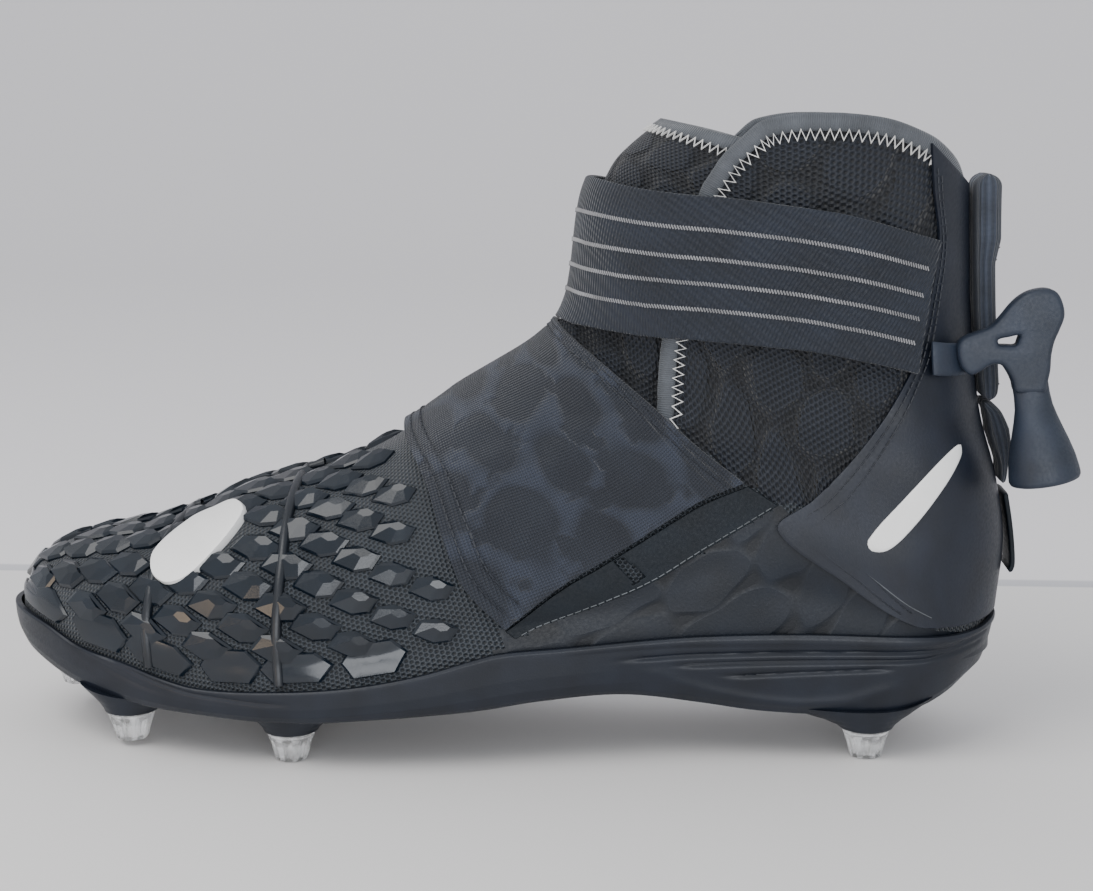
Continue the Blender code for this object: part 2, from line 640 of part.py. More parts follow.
def ring_loft(rings):
    """Closed solid from rings of equal length, whose first and last fold onto a spine."""
    count = len(rings[0])
    bm = bmesh.new()
    verts = [[bm.verts.new(point) for point in ring] for ring in rings]
    for low, high in zip(verts, verts[1:]):
        for i in range(count):
            j = (i + 1) % count
            bm.faces.new((low[i], low[j], high[j], high[i]))
    bmesh.ops.remove_doubles(bm, verts=bm.verts, dist=0.00001)
    bmesh.ops.dissolve_degenerate(bm, edges=bm.edges, dist=0.00001)
    bmesh.ops.recalc_face_normals(bm, faces=bm.faces)
    return bm


def plan_ring(count, inset_at, height_at, to_spine=0.0):
    """Points of a ring round the plan outline, pulled to the centre line by to_spine."""
    ring = []
    for i in range(count):
        angle = 2 * math.pi * i / count
        side = LATERAL if angle <= math.pi else MEDIAL
        share = (1 - math.cos(angle)) / 2
        inset = inset_at(share)
        x = TOE_X + inset + share * (SOLE_LENGTH - 2 * inset)
        edge = float(plan_edge(x, side, inset))
        y = edge + (float(centre_line(x)) - edge) * to_spine
        ring.append(Vector((x, y, height_at(x))))
    return ring


def rib_share(share):
    """How much of the ribbed heel's form holds at a share of the length."""
    t = min(max((share - RIBS_START) / (RIBS_FULL - RIBS_START), 0), 1)
    return t * t * (3 - 2 * t)


def make_plate(collection, cutters):
    """Sole plate: a shallow dish with a lip, a ribbed heel wall and a boss per stud."""
    rings = []
    spine_inset = SPINE_INSET * SOLE_LENGTH

    def bottom(x):
        return float(level(BOTTOM_LINE, x))

    def bed(x):
        return float(level(BED_LINE, x))

    rings.append(plan_ring(SOLE_POINTS, lambda t: spine_inset, bottom, 1.0))
    for line in SIDE_LINES:
        def inset(t, line=line):
            return line.forefoot + (line.heel - line.forefoot) * rib_share(t)

        def height(x, line=line):
            return bottom(x) + (float(level(RIM_LINE, x)) - bottom(x)) * line.up

        rings.append(plan_ring(SOLE_POINTS, inset, height))
    rings.append(
        plan_ring(SOLE_POINTS, lambda t: LIP_WALL, lambda x: float(level(RIM_LINE, x)))
    )
    rings.append(plan_ring(SOLE_POINTS, lambda t: LIP_WALL, bed))
    rings.append(plan_ring(SOLE_POINTS, lambda t: spine_inset, bed, 1.0))
    plate = add_object("outsole_plate", ring_loft(rings), "plate", collection)
    for stud in STUDS:
        x, y, seat = stud_seat(stud)
        root = bottom(x) + BOSS_ROOT
        bm = bmesh.new()
        bmesh.ops.create_cone(
            bm, cap_ends=True, segments=STUD_SIDES, depth=root - seat,
            radius1=BOSS_DIAMETER / 2, radius2=BOSS_DIAMETER / 2 + BOSS_FLARE,
            matrix=Matrix.Translation((x, y, (root + seat) / 2)),
        )
        boss = add_object("boss_" + stud.name, bm, None, cutters)
        combine(plate, boss, "UNION")
    return plate


def stud_seat(stud):
    """x, y and the height of the face that a stud screws up to."""
    return along(stud.along), stud.across * BALL_WIDTH, STUD_HEIGHT + stud.lift * BODY_HEIGHT


def make_stud(stud, collection):
    """Tapered stud with fluted sides and a flat tip."""
    x, y, seat = stud_seat(stud)
    height = STUD_HEIGHT - FLAT_GAP
    bm = bmesh.new()
    bmesh.ops.create_cone(
        bm, cap_ends=True, segments=STUD_SIDES, depth=height,
        radius1=STUD_TIP_DIAMETER / 2, radius2=STUD_BASE_DIAMETER / 2,
    )
    for vert in bm.verts:
        turn = math.atan2(vert.co.y, vert.co.x) / (2 * math.pi) * STUD_SIDES
        if round(turn - 0.5) % 2:
            out = Vector((vert.co.x, vert.co.y, 0)).normalized()
            vert.co -= out * STUD_FLUTE_DEPTH
    shift = Matrix.Translation((x, y, seat - FLAT_GAP - height / 2))
    bmesh.ops.transform(bm, matrix=shift, verts=bm.verts)
    return add_object("stud_" + stud.name, bm, "stud", collection)


def make_insole(collection):
    """Insole lying on the bed, inside the upper's wall."""
    inset = UPPER_INSET + UPPER_WALL + INSOLE_GAP
    spine_inset = SPINE_INSET * SOLE_LENGTH

    def under(x):
        return float(level(BED_LINE, x)) + INSOLE_SEAT

    def over(x):
        return under(x) + INSOLE_THICKNESS

    rings = [
        plan_ring(SOLE_POINTS, lambda t: spine_inset, under, 1.0),
        plan_ring(SOLE_POINTS, lambda t: inset, under),
        plan_ring(SOLE_POINTS, lambda t: inset, over),
        plan_ring(SOLE_POINTS, lambda t: spine_inset, over, 1.0),
    ]
    return add_object("insole", ring_loft(rings), "foam", collection)


def face_out(bm, centre):
    """Turn an open surface so that its faces look away from a line of points."""
    bm.normal_update()
    score = 0.0
    for face in bm.faces:
        middle = face.calc_center_median()
        score += face.normal.dot(middle - centre(middle)) * face.calc_area()
    if score < 0:
        bmesh.ops.reverse_faces(bm, faces=bm.faces)


def axis_of_last(point):
    """Point inside the shoe that the skin at a point looks away from."""
    instep = Vector((along(INSTEP.along), 0, up(INSTEP.up)))
    if point.x < instep.x and point.z < instep.z:
        return Vector((point.x, float(centre_line(point.x)), up(FOOT_AXIS_UP)))
    if point.z > instep.z:
        return Vector((along(ANKLE_AXIS), 0, point.z))
    return Vector((min(point.x, along(HEEL_AXIS)), 0, instep.z))


def add_skin(name, rows, columns, place, finish, collection):
    """Object with an open surface that looks outwards."""
    bm = mapped_grid(rows, columns, place)
    face_out(bm, axis_of_last)
    return add_object(name, bm, finish, collection)


def make_upper(last, collection, cutters):
    """Upper: one wall round the whole last, open underneath, at the collar and throat."""
    last_s = len(SECTIONS) - 1

    def place(u, w):
        side = MEDIAL if w > 0.5 else LATERAL
        return last.at(u * last_s, abs(2 * w - 1), side)

    upper = add_skin("upper", LAST_ROWS, LAST_COLUMNS, place, "textile", collection)
    thicken(upper, UPPER_WALL, -1)
    opening = side_outline(
        "collar_and_throat", flat_places(COLLAR_LINE + OPEN_AIR), 0.0,
        2 * CUTTER_HALF_WIDTH, None, cutters,
    )
    combine(upper, opening, "DIFFERENCE")
    return upper


def band_place(front, rear, lift, last):
    """Place on a band that crosses the ridge between two edges given for each side."""
    def place(u, w):
        side = MEDIAL if w > 0.5 else LATERAL
        out = abs(2 * w - 1)
        s0, v0 = front[side](out)
        s1, v1 = rear[side](out)
        return last.at(s0 + (s1 - s0) * u, v0 + (v1 - v0) * u, side, lift)
    return place


def both_sides(last, places, end):
    """An edge on the lateral and on the medial side."""
    return {side: last.edge(places, side, end) for side in (LATERAL, MEDIAL)}


def make_tongue(last, collection):
    """Tongue: a padded leaf under both flaps, rising above the ankle strap."""
    lift = -(UPPER_WALL + WIDE_BAND_GAP)
    ridge = {side: last.edge(TONGUE_RIDGE, side, 0.0) for side in (LATERAL, MEDIAL)}
    rim = {side: last.edge(TONGUE_EDGE, side) for side in (LATERAL, MEDIAL)}

    def place(u, w):
        side = MEDIAL if w > 0.5 else LATERAL
        out = abs(2 * w - 1)
        s0, v0 = ridge[side](u)[0], 0.0
        s1, v1 = rim[side](u)
        return last.at(s0 + (s1 - s0) * out, v0 + (v1 - v0) * out, side, lift)

    tongue = add_skin("tongue", TONGUE_ROWS, TONGUE_COLUMNS, place, "textile", collection)
    thicken(tongue, TONGUE_THICKNESS, -1)
    return tongue


def make_midfoot_strap(last, collection):
    """Wide woven strap over the instep, sewn down on both sides."""
    front = both_sides(last, STRAP_FRONT, 0.0)
    rear = both_sides(last, STRAP_REAR, 0.0)
    place = band_place(front, rear, WIDE_BAND_GAP, last)
    strap = add_skin(
        "midfoot_strap", STRAP_ROWS, STRAP_COLUMNS, place, "strap", collection
    )
    thicken(strap, STRAP_THICKNESS, 1)
    return strap


def make_ankle_strap(last, collection):
    """Elastic strap round the front of the ankle, over the flaps and the tongue."""
    top = both_sides(last, ANKLE_TOP, 0.0)
    bottom = both_sides(last, ANKLE_BOTTOM, 0.0)
    lift = COUNTER_GAP + COUNTER_THICKNESS + FLAT_GAP
    place = band_place(bottom, top, lift, last)
    strap = add_skin("ankle_strap", ANKLE_ROWS, ANKLE_COLUMNS, place, "strap", collection)
    thicken(strap, STRAP_THICKNESS, 1)
    return strap


def make_strips(last, collection, cutters):
    """Smooth strips that the midfoot strap ends in, the lateral one with a slot."""
    slot = side_outline(
        "strip_slot", flat_places(SLOT), -CUTTER_HALF_WIDTH / 2, CUTTER_HALF_WIDTH, None, cutters
    )
    for name, side in (("lateral", LATERAL), ("medial", MEDIAL)):
        ends = (last.find(STRAP_FRONT[-1], side), last.find(STRAP_REAR[-1], side))
        lower_edge = last.edge(STRIP_LOWER, side)

        def place(u, w, ends=ends, lower_edge=lower_edge, side=side):
            s0, v0 = lower_edge(u)
            s1 = ends[0][0] + (ends[1][0] - ends[0][0]) * u
            v1 = ends[0][1] + (ends[1][1] - ends[0][1]) * u + SEAM_SHARE
            return last.at(s0 + (s1 - s0) * w, v0 + (v1 - v0) * w, side, CURVED_GAP)

        strip = add_skin(
            "strap_base_" + name, STRIP_ROWS, STRIP_COLUMNS, place, "leather", collection
        )
        thicken(strip, STRIP_THICKNESS, 1)
        if side == LATERAL:
            combine(strip, slot, "DIFFERENCE")


def way_along(places):
    """Side view position at a share of the way along an edge."""
    flat = np.array([(p.along, p.up) for p in places])
    steps = np.hypot(*(np.diff(flat, axis=0) * (SOLE_LENGTH, BODY_HEIGHT)).T)
    way = np.concatenate([[0], np.cumsum(steps)]) / steps.sum()
    return lambda w: [float(smooth_table(way, flat[:, axis], w)) for axis in (0, 1)]


def make_counter(last, collection):
    """Smooth heel counter that wraps the back of the upper up to the collar."""
    front = way_along(COUNTER_FRONT)
    foot, top = COUNTER_BACK

    def place(u, w):
        side = MEDIAL if w > 0.5 else LATERAL
        out = abs(2 * w - 1)
        edge_x, z = front(u)
        share = math.sin(math.pi / 2 * (1 - out))
        z += (foot + (top - foot) * u - z) * share
        near_x = edge_x + (last.back_share(z) - edge_x) * share
        over_rim = float(level(RIM_LINE, along(near_x))) + COUNTER_RISE - STUD_HEIGHT
        z += (over_rim / BODY_HEIGHT - z) * (1 - u) ** RIM_FADE
        x = edge_x + (last.back_share(z) - edge_x) * share
        if out < 0.5 / COUNTER_COLUMNS:
            return last.at(last.back_row(z), 1.0, side, COUNTER_GAP)
        s, v = last.find(SidePoint(x, z), side)
        return last.at(s, v, side, COUNTER_GAP)

    counter = add_skin(
        "heel_counter", COUNTER_ROWS, COUNTER_COLUMNS, place, "leather", collection
    )
    thicken(counter, COUNTER_THICKNESS, 1)
    return counter


def heel_face(last, share):
    """x of the counter's outer face on the centre line, at a height share."""
    return along(last.back_share(share)) + COUNTER_GAP + COUNTER_THICKNESS


def make_heel_webbing(last, collection):
    """Padded pull webbing sewn up the back of the heel."""
    levels = np.linspace(WEBBING_FOOT, WEBBING_TOP, WEBBING_STEPS)
    inner = [(heel_face(last, t) + CURVED_GAP, up(t)) for t in levels]
    outer = [(x + WEBBING_STANDOFF, z) for x, z in inner]
    ease = WEBBING_EASE * WEBBING_STANDOFF
    outer[0] = (inner[0][0] + ease, inner[0][1])
    outer[-1] = (inner[-1][0] + ease, inner[-1][1])
    outline = inner + outer[::-1]
    webbing = side_outline(
        "heel_webbing", outline, 0.0, WEBBING_WIDTH, "textile", collection
    )
    soften(webbing, WEBBING_ROUNDING)
    return webbing


def soften(obj, width):
    """Rounded edges."""
    bevel = obj.modifiers.new("Rounded", "BEVEL")
    bevel.width = width
    bevel.segments = 2
    bevel.limit_method = "ANGLE"
    bevel.angle_limit = math.radians(50)


def make_heel_loop(last, collection):
    """Small webbing loop below the pull."""
    outline = strip_outline(last, LOOP_PATH, LOOP_THICKNESS)
    return side_outline("heel_loop", outline, 0.0, LOOP_WIDTH, "textile", collection)


def make_heel_flap(last, collection):
    """Narrow flap that hangs from the loop's foot."""
    outline = strip_outline(last, FLAP_PATH, FLAP_THICKNESS)
    return side_outline("heel_flap", outline, 0.0, LOOP_WIDTH, "leather", collection)


def make_rubber_pull(last, collection, cutters):
    """Moulded rubber pull: an arm along the counter, a link with a hole and a grip."""
    y_link = LINK_ACROSS * BALL_WIDTH
    link = side_outline(
        "rubber_pull", flat_places(LINK_OUTLINE), y_link, RUBBER_THICKNESS, "rubber", collection
    )
    hole = side_outline(
        "link_hole", flat_places(LINK_HOLE), y_link, 2 * RUBBER_THICKNESS, None, cutters
    )
    combine(link, hole, "DIFFERENCE")

    bm = bmesh.new()
    previous = None
    for ring in GRIP_PROFILE:
        loop = bmesh.ops.create_circle(
            bm, segments=STUD_SIDES, radius=ring.radius * GRIP_DIAMETER / 2,
            cap_ends=previous is None or ring is GRIP_PROFILE[-1],
            matrix=Matrix.Translation((0, 0, -ring.down * GRIP_LENGTH)),
        )["verts"]
        edges = [e for e in bm.edges if e.verts[0] in loop and e.verts[1] in loop]
        if previous:
            bmesh.ops.bridge_loops(bm, edges=previous + edges)
        previous = edges
    bmesh.ops.recalc_face_normals(bm, faces=bm.faces)
    tilt = Matrix.Translation((along(GRIP_TOP.along), y_link, up(GRIP_TOP.up)))
    tilt = tilt @ Matrix.Rotation(-GRIP_LEAN, 4, "Y")
    bmesh.ops.transform(bm, matrix=tilt, verts=bm.verts)
    grip = add_object("pull_grip", bm, None, cutters)
    combine(link, grip, "UNION")

    front = last.edge(ARM_FRONT, LATERAL)
    rear = last.edge(ARM_REAR, LATERAL)
    lift = COUNTER_GAP + CURVED_GAP + COUNTER_THICKNESS

    def place(u, w):
        s0, v0 = front(w)
        s1, v1 = rear(w)
        return last.at(s0 + (s1 - s0) * u, v0 + (v1 - v0) * u, LATERAL, lift)

    arm = add_skin("pull_arm", ARM_ROWS, ARM_COLUMNS, place, None, cutters)
    thicken(arm, ARM_THICKNESS, 1)
    combine(link, arm, "UNION")
    return link


def centre_on_floor(objects):
    """Move the shoe so that its bounding box is centred over the origin."""
    bpy.context.view_layer.update()
    depsgraph = bpy.context.evaluated_depsgraph_get()
    corners = []
    for obj in objects:
        mesh = obj.evaluated_get(depsgraph).to_mesh()
        points = np.empty(len(mesh.vertices) * 3)
        mesh.vertices.foreach_get("co", points)
        corners.append(points.reshape(-1, 3).min(axis=0))
        corners.append(points.reshape(-1, 3).max(axis=0))
        obj.evaluated_get(depsgraph).to_mesh_clear()
    low = np.min(corners, axis=0)
    high = np.max(corners, axis=0)
    middle = (low + high) / 2
    return Vector((-middle[0], -middle[1], -low[2]))


def main():
    """Build every piece of the shoe."""
    for obj in list(bpy.data.objects):
        bpy.data.objects.remove(obj)
    shoe = new_collection("football_cleat")
    cutters = new_collection("cutters")
    last = Last()
    make_plate(shoe, cutters)
    for stud in STUDS:
        make_stud(stud, shoe)
    make_insole(shoe)
    make_upper(last, shoe, cutters)
    make_tongue(last, shoe)
    make_counter(last, shoe)
    make_midfoot_strap(last, shoe)
    make_strips(last, shoe, cutters)
    make_ankle_strap(last, shoe)
    make_heel_webbing(last, shoe)
    make_heel_loop(last, shoe)
    make_heel_flap(last, shoe)
    make_rubber_pull(last, shoe, cutters)
    shift = centre_on_floor(shoe.objects)
    for obj in list(shoe.objects) + list(cutters.objects):
        obj.location = shift


main()
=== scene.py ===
"""Looks of the left american football cleat, in metres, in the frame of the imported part.

The soft pieces are laid on the same last as the part: a fan of sections, upright over the
forefoot and swinging round the instep until they lie nearly level at the collar.
"""
from __future__ import annotations

import itertools
import logging
import math
import random
from dataclasses import dataclass, field
from enum import Enum
from typing import Callable, NamedTuple, Sequence

import bmesh
import bpy
import numpy as np
from mathutils import Matrix, Vector
from mathutils.bvhtree import BVHTree

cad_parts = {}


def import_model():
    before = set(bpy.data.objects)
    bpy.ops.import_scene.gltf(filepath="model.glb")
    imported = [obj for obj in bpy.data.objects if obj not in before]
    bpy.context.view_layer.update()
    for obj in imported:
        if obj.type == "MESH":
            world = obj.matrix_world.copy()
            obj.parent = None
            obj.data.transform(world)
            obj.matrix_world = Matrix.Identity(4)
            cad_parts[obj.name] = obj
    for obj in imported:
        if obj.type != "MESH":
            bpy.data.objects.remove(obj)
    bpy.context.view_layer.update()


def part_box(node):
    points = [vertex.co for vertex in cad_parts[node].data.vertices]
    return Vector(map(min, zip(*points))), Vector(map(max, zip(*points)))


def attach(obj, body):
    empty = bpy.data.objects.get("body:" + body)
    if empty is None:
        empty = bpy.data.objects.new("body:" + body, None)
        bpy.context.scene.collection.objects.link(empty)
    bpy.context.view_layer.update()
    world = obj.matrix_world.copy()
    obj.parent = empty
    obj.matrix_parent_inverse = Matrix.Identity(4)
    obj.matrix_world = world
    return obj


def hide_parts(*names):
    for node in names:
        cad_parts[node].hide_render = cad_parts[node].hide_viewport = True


LOG = logging.getLogger("football_cleat")

SOLE_LENGTH = 0.305
BALL_WIDTH = 0.099
BODY_HEIGHT = 0.179
STUD_HEIGHT = 0.009
TOE_X = -SOLE_LENGTH / 2
HEEL_X = SOLE_LENGTH / 2
LATERAL = -1
MEDIAL = 1
UPPER_WALL = 0.0020
LIP_WALL = 0.0018
LIP_GAP = 0.0009
FLAT_GAP = 0.0003
UPPER_INSET = LIP_WALL + LIP_GAP
SETTLE_SHARE = 0.55
TOE_ROUND = 0.22
HEEL_ROUND = 0.12
ROUND_POWER = 2.2
SPINE_INSET = 0.045 * SOLE_LENGTH
ZIGZAG_RADIUS = 0.00036
THREAD_LIFT = 0.0001
MM = 0.001


class Plan(NamedTuple):
    """Centre line and half widths of the sole, as shares of the ball width."""

    along: float
    centre: float
    lateral: float
    medial: float


class Level(NamedTuple):
    """A height along the sole, as shares of its length and of the body height."""

    along: float
    height: float


class Section(NamedTuple):
    """One section of the last, from the ridge to the feather line or the heel's back."""

    along: float
    up: float
    back: float
    rise: float
    lateral: float
    medial: float
    crown_at: float
    crown: float
    end: float = 0.120
    end_power: float = 2.20
    open_foot: float = 1


class SidePoint(NamedTuple):
    """A place in side view, as shares of the sole length and of the body height."""

    along: float
    up: float


class Standoff(NamedTuple):
    """A height on the heel and how far the trim's outer face stands off there."""

    up: float
    out: float


class Stitch(NamedTuple):
    """Distance between two stitches and the length of each, in metres."""

    pitch: float
    length: float


class Stud(NamedTuple):
    """Place of a stud and the height of its tip over the floor."""

    name: str
    along: float
    across: float
    lift: float


PLAN = [Plan(*row) for row in (
    (0.00, 0.071, 0.364, 0.293), (0.08, 0.066, 0.419, 0.367), (0.15, 0.056, 0.457, 0.399),
    (0.22, 0.045, 0.500, 0.424), (0.30, 0.032, 0.542, 0.442), (0.38, 0.020, 0.545, 0.434),
    (0.48, 0.008, 0.503, 0.376), (0.58, 0.000, 0.434, 0.318), (0.68, 0.000, 0.384, 0.298),
    (0.78, 0.000, 0.364, 0.318), (0.88, 0.000, 0.354, 0.338), (1.00, 0.000, 0.343, 0.333),
)]

BOTTOM_LINE = [Level(*row) for row in (
    (0.000, 0.128), (0.025, 0.092), (0.047, 0.075), (0.090, 0.051), (0.140, 0.034), (0.215, 0.028),
    (0.316, 0.025), (0.393, 0.034), (0.495, 0.047), (0.552, 0.059), (0.630, 0.066), (0.708, 0.049),
    (0.756, 0.037), (0.804, 0.031), (0.861, 0.028), (0.900, 0.032), (0.926, 0.045), (0.947, 0.062),
    (0.968, 0.083), (1.000, 0.094),
)]
RIM_LINE = [Level(*row) for row in (
    (0.000, 0.162), (0.025, 0.157), (0.057, 0.146), (0.097, 0.121), (0.156, 0.102), (0.187, 0.088),
    (0.230, 0.076), (0.311, 0.082), (0.379, 0.093), (0.444, 0.113), (0.490, 0.135), (0.518, 0.146),
    (0.574, 0.151), (0.659, 0.161), (0.707, 0.166), (0.801, 0.170), (0.896, 0.167), (0.946, 0.164),
    (0.979, 0.168), (1.000, 0.177),
)]
BED_LINE = [Level(*row) for row in (
    (0.000, 0.137), (0.057, 0.122), (0.097, 0.098), (0.156, 0.078), (0.187, 0.064), (0.230, 0.053),
    (0.311, 0.056), (0.379, 0.067), (0.444, 0.084), (0.490, 0.098), (0.574, 0.112), (0.707, 0.118),
    (1.000, 0.118),
)]

STUDS = [
    Stud("toe", 0.056, 0.095, 0.045),
    Stud("front_lateral", 0.146, -0.273, 0.010),
    Stud("front_medial", 0.127, 0.290, 0.010),
    Stud("ball_lateral", 0.313, -0.384, 0.0),
    Stud("ball_medial", 0.280, 0.350, 0.0),
    Stud("heel_lateral", 0.869, -0.240, 0.0),
    Stud("heel_medial", 0.869, 0.235, 0.0),
]

SECTIONS = [Section(*row) for row in (
    (0.0082, 0.137, 0.0082, 0.000, 1.00, 1.00, 0.80, 2.20),
    (0.0108, 0.168, 0.0098, 0.000, 1.00, 1.00, 0.80, 2.20),
    (0.0164, 0.196, 0.0154, 0.000, 1.01, 1.01, 0.80, 2.20),
    (0.0295, 0.228, 0.0279, 0.000, 1.01, 1.01, 0.79, 2.25),
    (0.0492, 0.252, 0.0475, 0.000, 1.02, 1.02, 0.78, 2.30),
    (0.0754, 0.268, 0.0738, 0.000, 1.02, 1.02, 0.77, 2.35),
    (0.1115, 0.283, 0.1115, 0.000, 1.02, 1.02, 0.76, 2.35),
    (0.1574, 0.300, 0.1607, 0.000, 1.01, 1.01, 0.76, 2.35),
    (0.2049, 0.329, 0.2115, 0.000, 1.00, 1.00, 0.76, 2.30),
    (0.2574, 0.370, 0.2705, 0.000, 0.99, 0.99, 0.77, 2.20),
    (0.3131, 0.394, 0.3361, 0.000, 0.98, 0.99, 0.78, 2.10),
    (0.3689, 0.430, 0.4082, 0.000, 0.97, 0.99, 0.79, 2.00),
    (0.4180, 0.478, 0.4869, 0.000, 0.97, 1.00, 0.80, 1.90),
    (0.4639, 0.531, 0.5721, 0.000, 0.97, 1.01, 0.80, 1.85),
    (0.5082, 0.577, 0.6639, 0.000, 0.98, 1.02, 0.79, 1.82),
    (0.5426, 0.615, 0.7623, 0.000, 0.99, 1.03, 0.77, 1.82),
    (0.5666, 0.654, 0.8541, 0.000, 0.99, 1.03, 0.74, 1.85),
    (0.5780, 0.693, 0.9197, 0.000, 0.99, 1.03, 0.71, 1.88),
    (0.5830, 0.732, 0.9623, 0.000, 0.99, 1.02, 0.67, 1.90),
    (0.5859, 0.771, 0.9846, 0.000, 0.99, 1.01, 0.64, 1.95),
    (0.5879, 0.804, 0.9900, 0.020, 0.99, 1.00, 0.62, 1.98),
    (0.5902, 0.835, 0.9950, 0.084, 0.99, 1.02, 0.59, 2.00, 0.122, 2.18, 0),
    (0.5944, 0.869, 0.9990, 0.184, 1.00, 1.05, 0.57, 2.00, 0.126, 2.15, 0),
    (0.6016, 0.902, 0.9895, 0.285, 1.00, 1.08, 0.55, 2.02, 0.132, 2.10, 0),
    (0.6131, 0.936, 0.9721, 0.391, 1.00, 1.10, 0.53, 2.05, 0.140, 2.06, 0),
    (0.6295, 0.964, 0.9623, 0.514, 1.01, 1.11, 0.51, 2.08, 0.146, 2.03, 0),
    (0.6475, 0.989, 0.9574, 0.642, 1.02, 1.12, 0.50, 2.10, 0.150, 2.00, 0),
    (0.6656, 1.011, 0.9548, 0.760, 1.03, 1.13, 0.50, 2.10, 0.150, 2.00, 0),
    (0.6803, 1.039, 0.9548, 0.866, 1.04, 1.14, 0.50, 2.10, 0.150, 2.00, 0),
    (0.6902, 1.067, 0.9555, 0.950, 1.04, 1.14, 0.50, 2.10, 0.150, 2.00, 0),
)]
COLLAR_LINE = [SidePoint(*row) for row in (
    (0.985, 0.874), (0.956, 0.886), (0.951, 0.904), (0.941, 0.929), (0.922, 0.957), (0.906, 0.971),
    (0.881, 0.987), (0.862, 0.994), (0.834, 0.999), (0.812, 1.000), (0.790, 0.999), (0.768, 0.993),
    (0.754, 0.985), (0.737, 0.959), (0.723, 0.936), (0.712, 0.908), (0.703, 0.882), (0.686, 0.770),
    (0.669, 0.648), (0.665, 0.570), (0.664, 0.525), (0.655, 0.497), (0.640, 0.489), (0.600, 0.500),
    (0.560, 0.530), (0.515, 0.578),
)]
OPEN_AIR = [SidePoint(*row) for row in (
    (0.480, 0.640), (0.500, 1.150), (1.060, 1.150), (1.060, 0.874),
)]
STRAP_FRONT = [SidePoint(*row) for row in (
    (0.415, 0.473), (0.445, 0.403), (0.462, 0.331), (0.482, 0.254), (0.521, 0.185),
)]
STRAP_REAR = [SidePoint(*row) for row in (
    (0.566, 0.655), (0.609, 0.602), (0.657, 0.538), (0.704, 0.470), (0.746, 0.417),
)]
STRIP_LOWER = [SidePoint(*row) for row in (
    (0.532, 0.167), (0.557, 0.188), (0.612, 0.221), (0.659, 0.254), (0.705, 0.302), (0.747, 0.346),
    (0.778, 0.381),
)]
SLOT = [SidePoint(*row) for row in (
    (0.6235, 0.291), (0.6335, 0.297), (0.654, 0.264), (0.643, 0.252),
)]
ANKLE_TOP = [SidePoint(*row) for row in (
    (0.595, 0.897), (0.655, 0.880), (0.746, 0.868), (0.837, 0.844), (0.918, 0.802),
)]
ANKLE_BOTTOM = [SidePoint(*row) for row in (
    (0.568, 0.657), (0.656, 0.649), (0.757, 0.640), (0.840, 0.621), (0.901, 0.592),
)]
COUNTER_FRONT = [SidePoint(*row) for row in (
    (0.928, 0.173), (0.893, 0.236), (0.845, 0.304), (0.778, 0.382), (0.810, 0.421), (0.843, 0.471),
    (0.870, 0.526), (0.888, 0.573), (0.902, 0.619), (0.914, 0.710), (0.921, 0.803), (0.915, 0.880),
    (0.911, 0.955),
)]
COUNTER_BACK = (0.190, 0.884)
TONGUE_EDGE = [SidePoint(*row) for row in (
    (0.620, 0.440), (0.700, 0.640), (0.762, 0.950),
)]
TONGUE_RIDGE = [SidePoint(*row) for row in (
    (0.490, 0.557), (0.583, 0.735), (0.660, 1.004),
)]
LOOP_PATH = [Standoff(*row) for row in (
    (0.530, 0.0021), (0.512, 0.0058), (0.480, 0.0072), (0.446, 0.0062), (0.415, 0.0036), (0.395, 0.0021),
)]
FLAP_PATH = [Standoff(*row) for row in (
    (0.378, 0.0023), (0.334, 0.0024), (0.291, 0.0029), (0.256, 0.0036), (0.243, 0.0031),
)]
LINK_OUTLINE = (
    (135.4, 123.1), (137.1, 125.1), (140.7, 126.6), (144.6, 128.3), (147.3, 131.2), (150.0, 134.7),
    (152.7, 137.2), (155.7, 138.7), (159.6, 139.3), (162.4, 138.4), (164.2, 135.6), (165.0, 131.6),
    (163.8, 127.6), (162.5, 124.2), (161.8, 120.1), (161.7, 116.1), (161.0, 112.0), (160.6, 109.7),
    (156.6, 109.1), (152.1, 109.6), (151.1, 112.5), (149.6, 115.4), (147.8, 117.4), (145.0, 117.4),
    (142.2, 115.6), (139.4, 114.4), (137.1, 115.9), (135.6, 119.3),
)
LINK_HOLE = ((146.7, 124.6), (149.6, 125.4), (152.6, 125.9), (152.3, 124.4), (151.8, 123.2), (149.0, 123.1),
             (147.0, 123.3))
SEAM = ((6.5, 42.1), (22.9, 54.2), (34.2, 60.6), (48.3, 69.3), (62.4, 77.9), (75.0, 83.6))


STRAP_STITCH = Stitch(0.0026, 0.0019)
LEATHER_STITCH = Stitch(0.0024, 0.0018)
WEBBING_STITCH = Stitch(0.0018, 0.0013)


def smooth_table(xs: Sequence[float], ys: Sequence[float], x: np.ndarray | float) -> np.ndarray:
    """Values on a smooth curve through the rows of a table.

    Args:
        xs: Rising places of the rows.
        ys: Values of the rows.
        x: Places asked for.

    Returns:
        The curve's value at each place.
    """
    xs = np.asarray(xs, float)
    ys = np.asarray(ys, float)
    x = np.clip(np.asarray(x, float), xs[0], xs[-1])
    slopes = np.empty_like(ys)
    slopes[1:-1] = (ys[2:] - ys[:-2]) / (xs[2:] - xs[:-2])
    slopes[0] = (ys[1] - ys[0]) / (xs[1] - xs[0])
    slopes[-1] = (ys[-1] - ys[-2]) / (xs[-1] - xs[-2])
    i = np.clip(np.searchsorted(xs, x, side="right") - 1, 0, len(xs) - 2)
    step = xs[i + 1] - xs[i]
    t = (x - xs[i]) / step
    start = ys[i] * (1 + 2 * t) * (1 - t) ** 2 + slopes[i] * step * t * (1 - t) ** 2
    end = ys[i + 1] * t * t * (3 - 2 * t) - slopes[i + 1] * step * t * t * (1 - t)
    return start + end


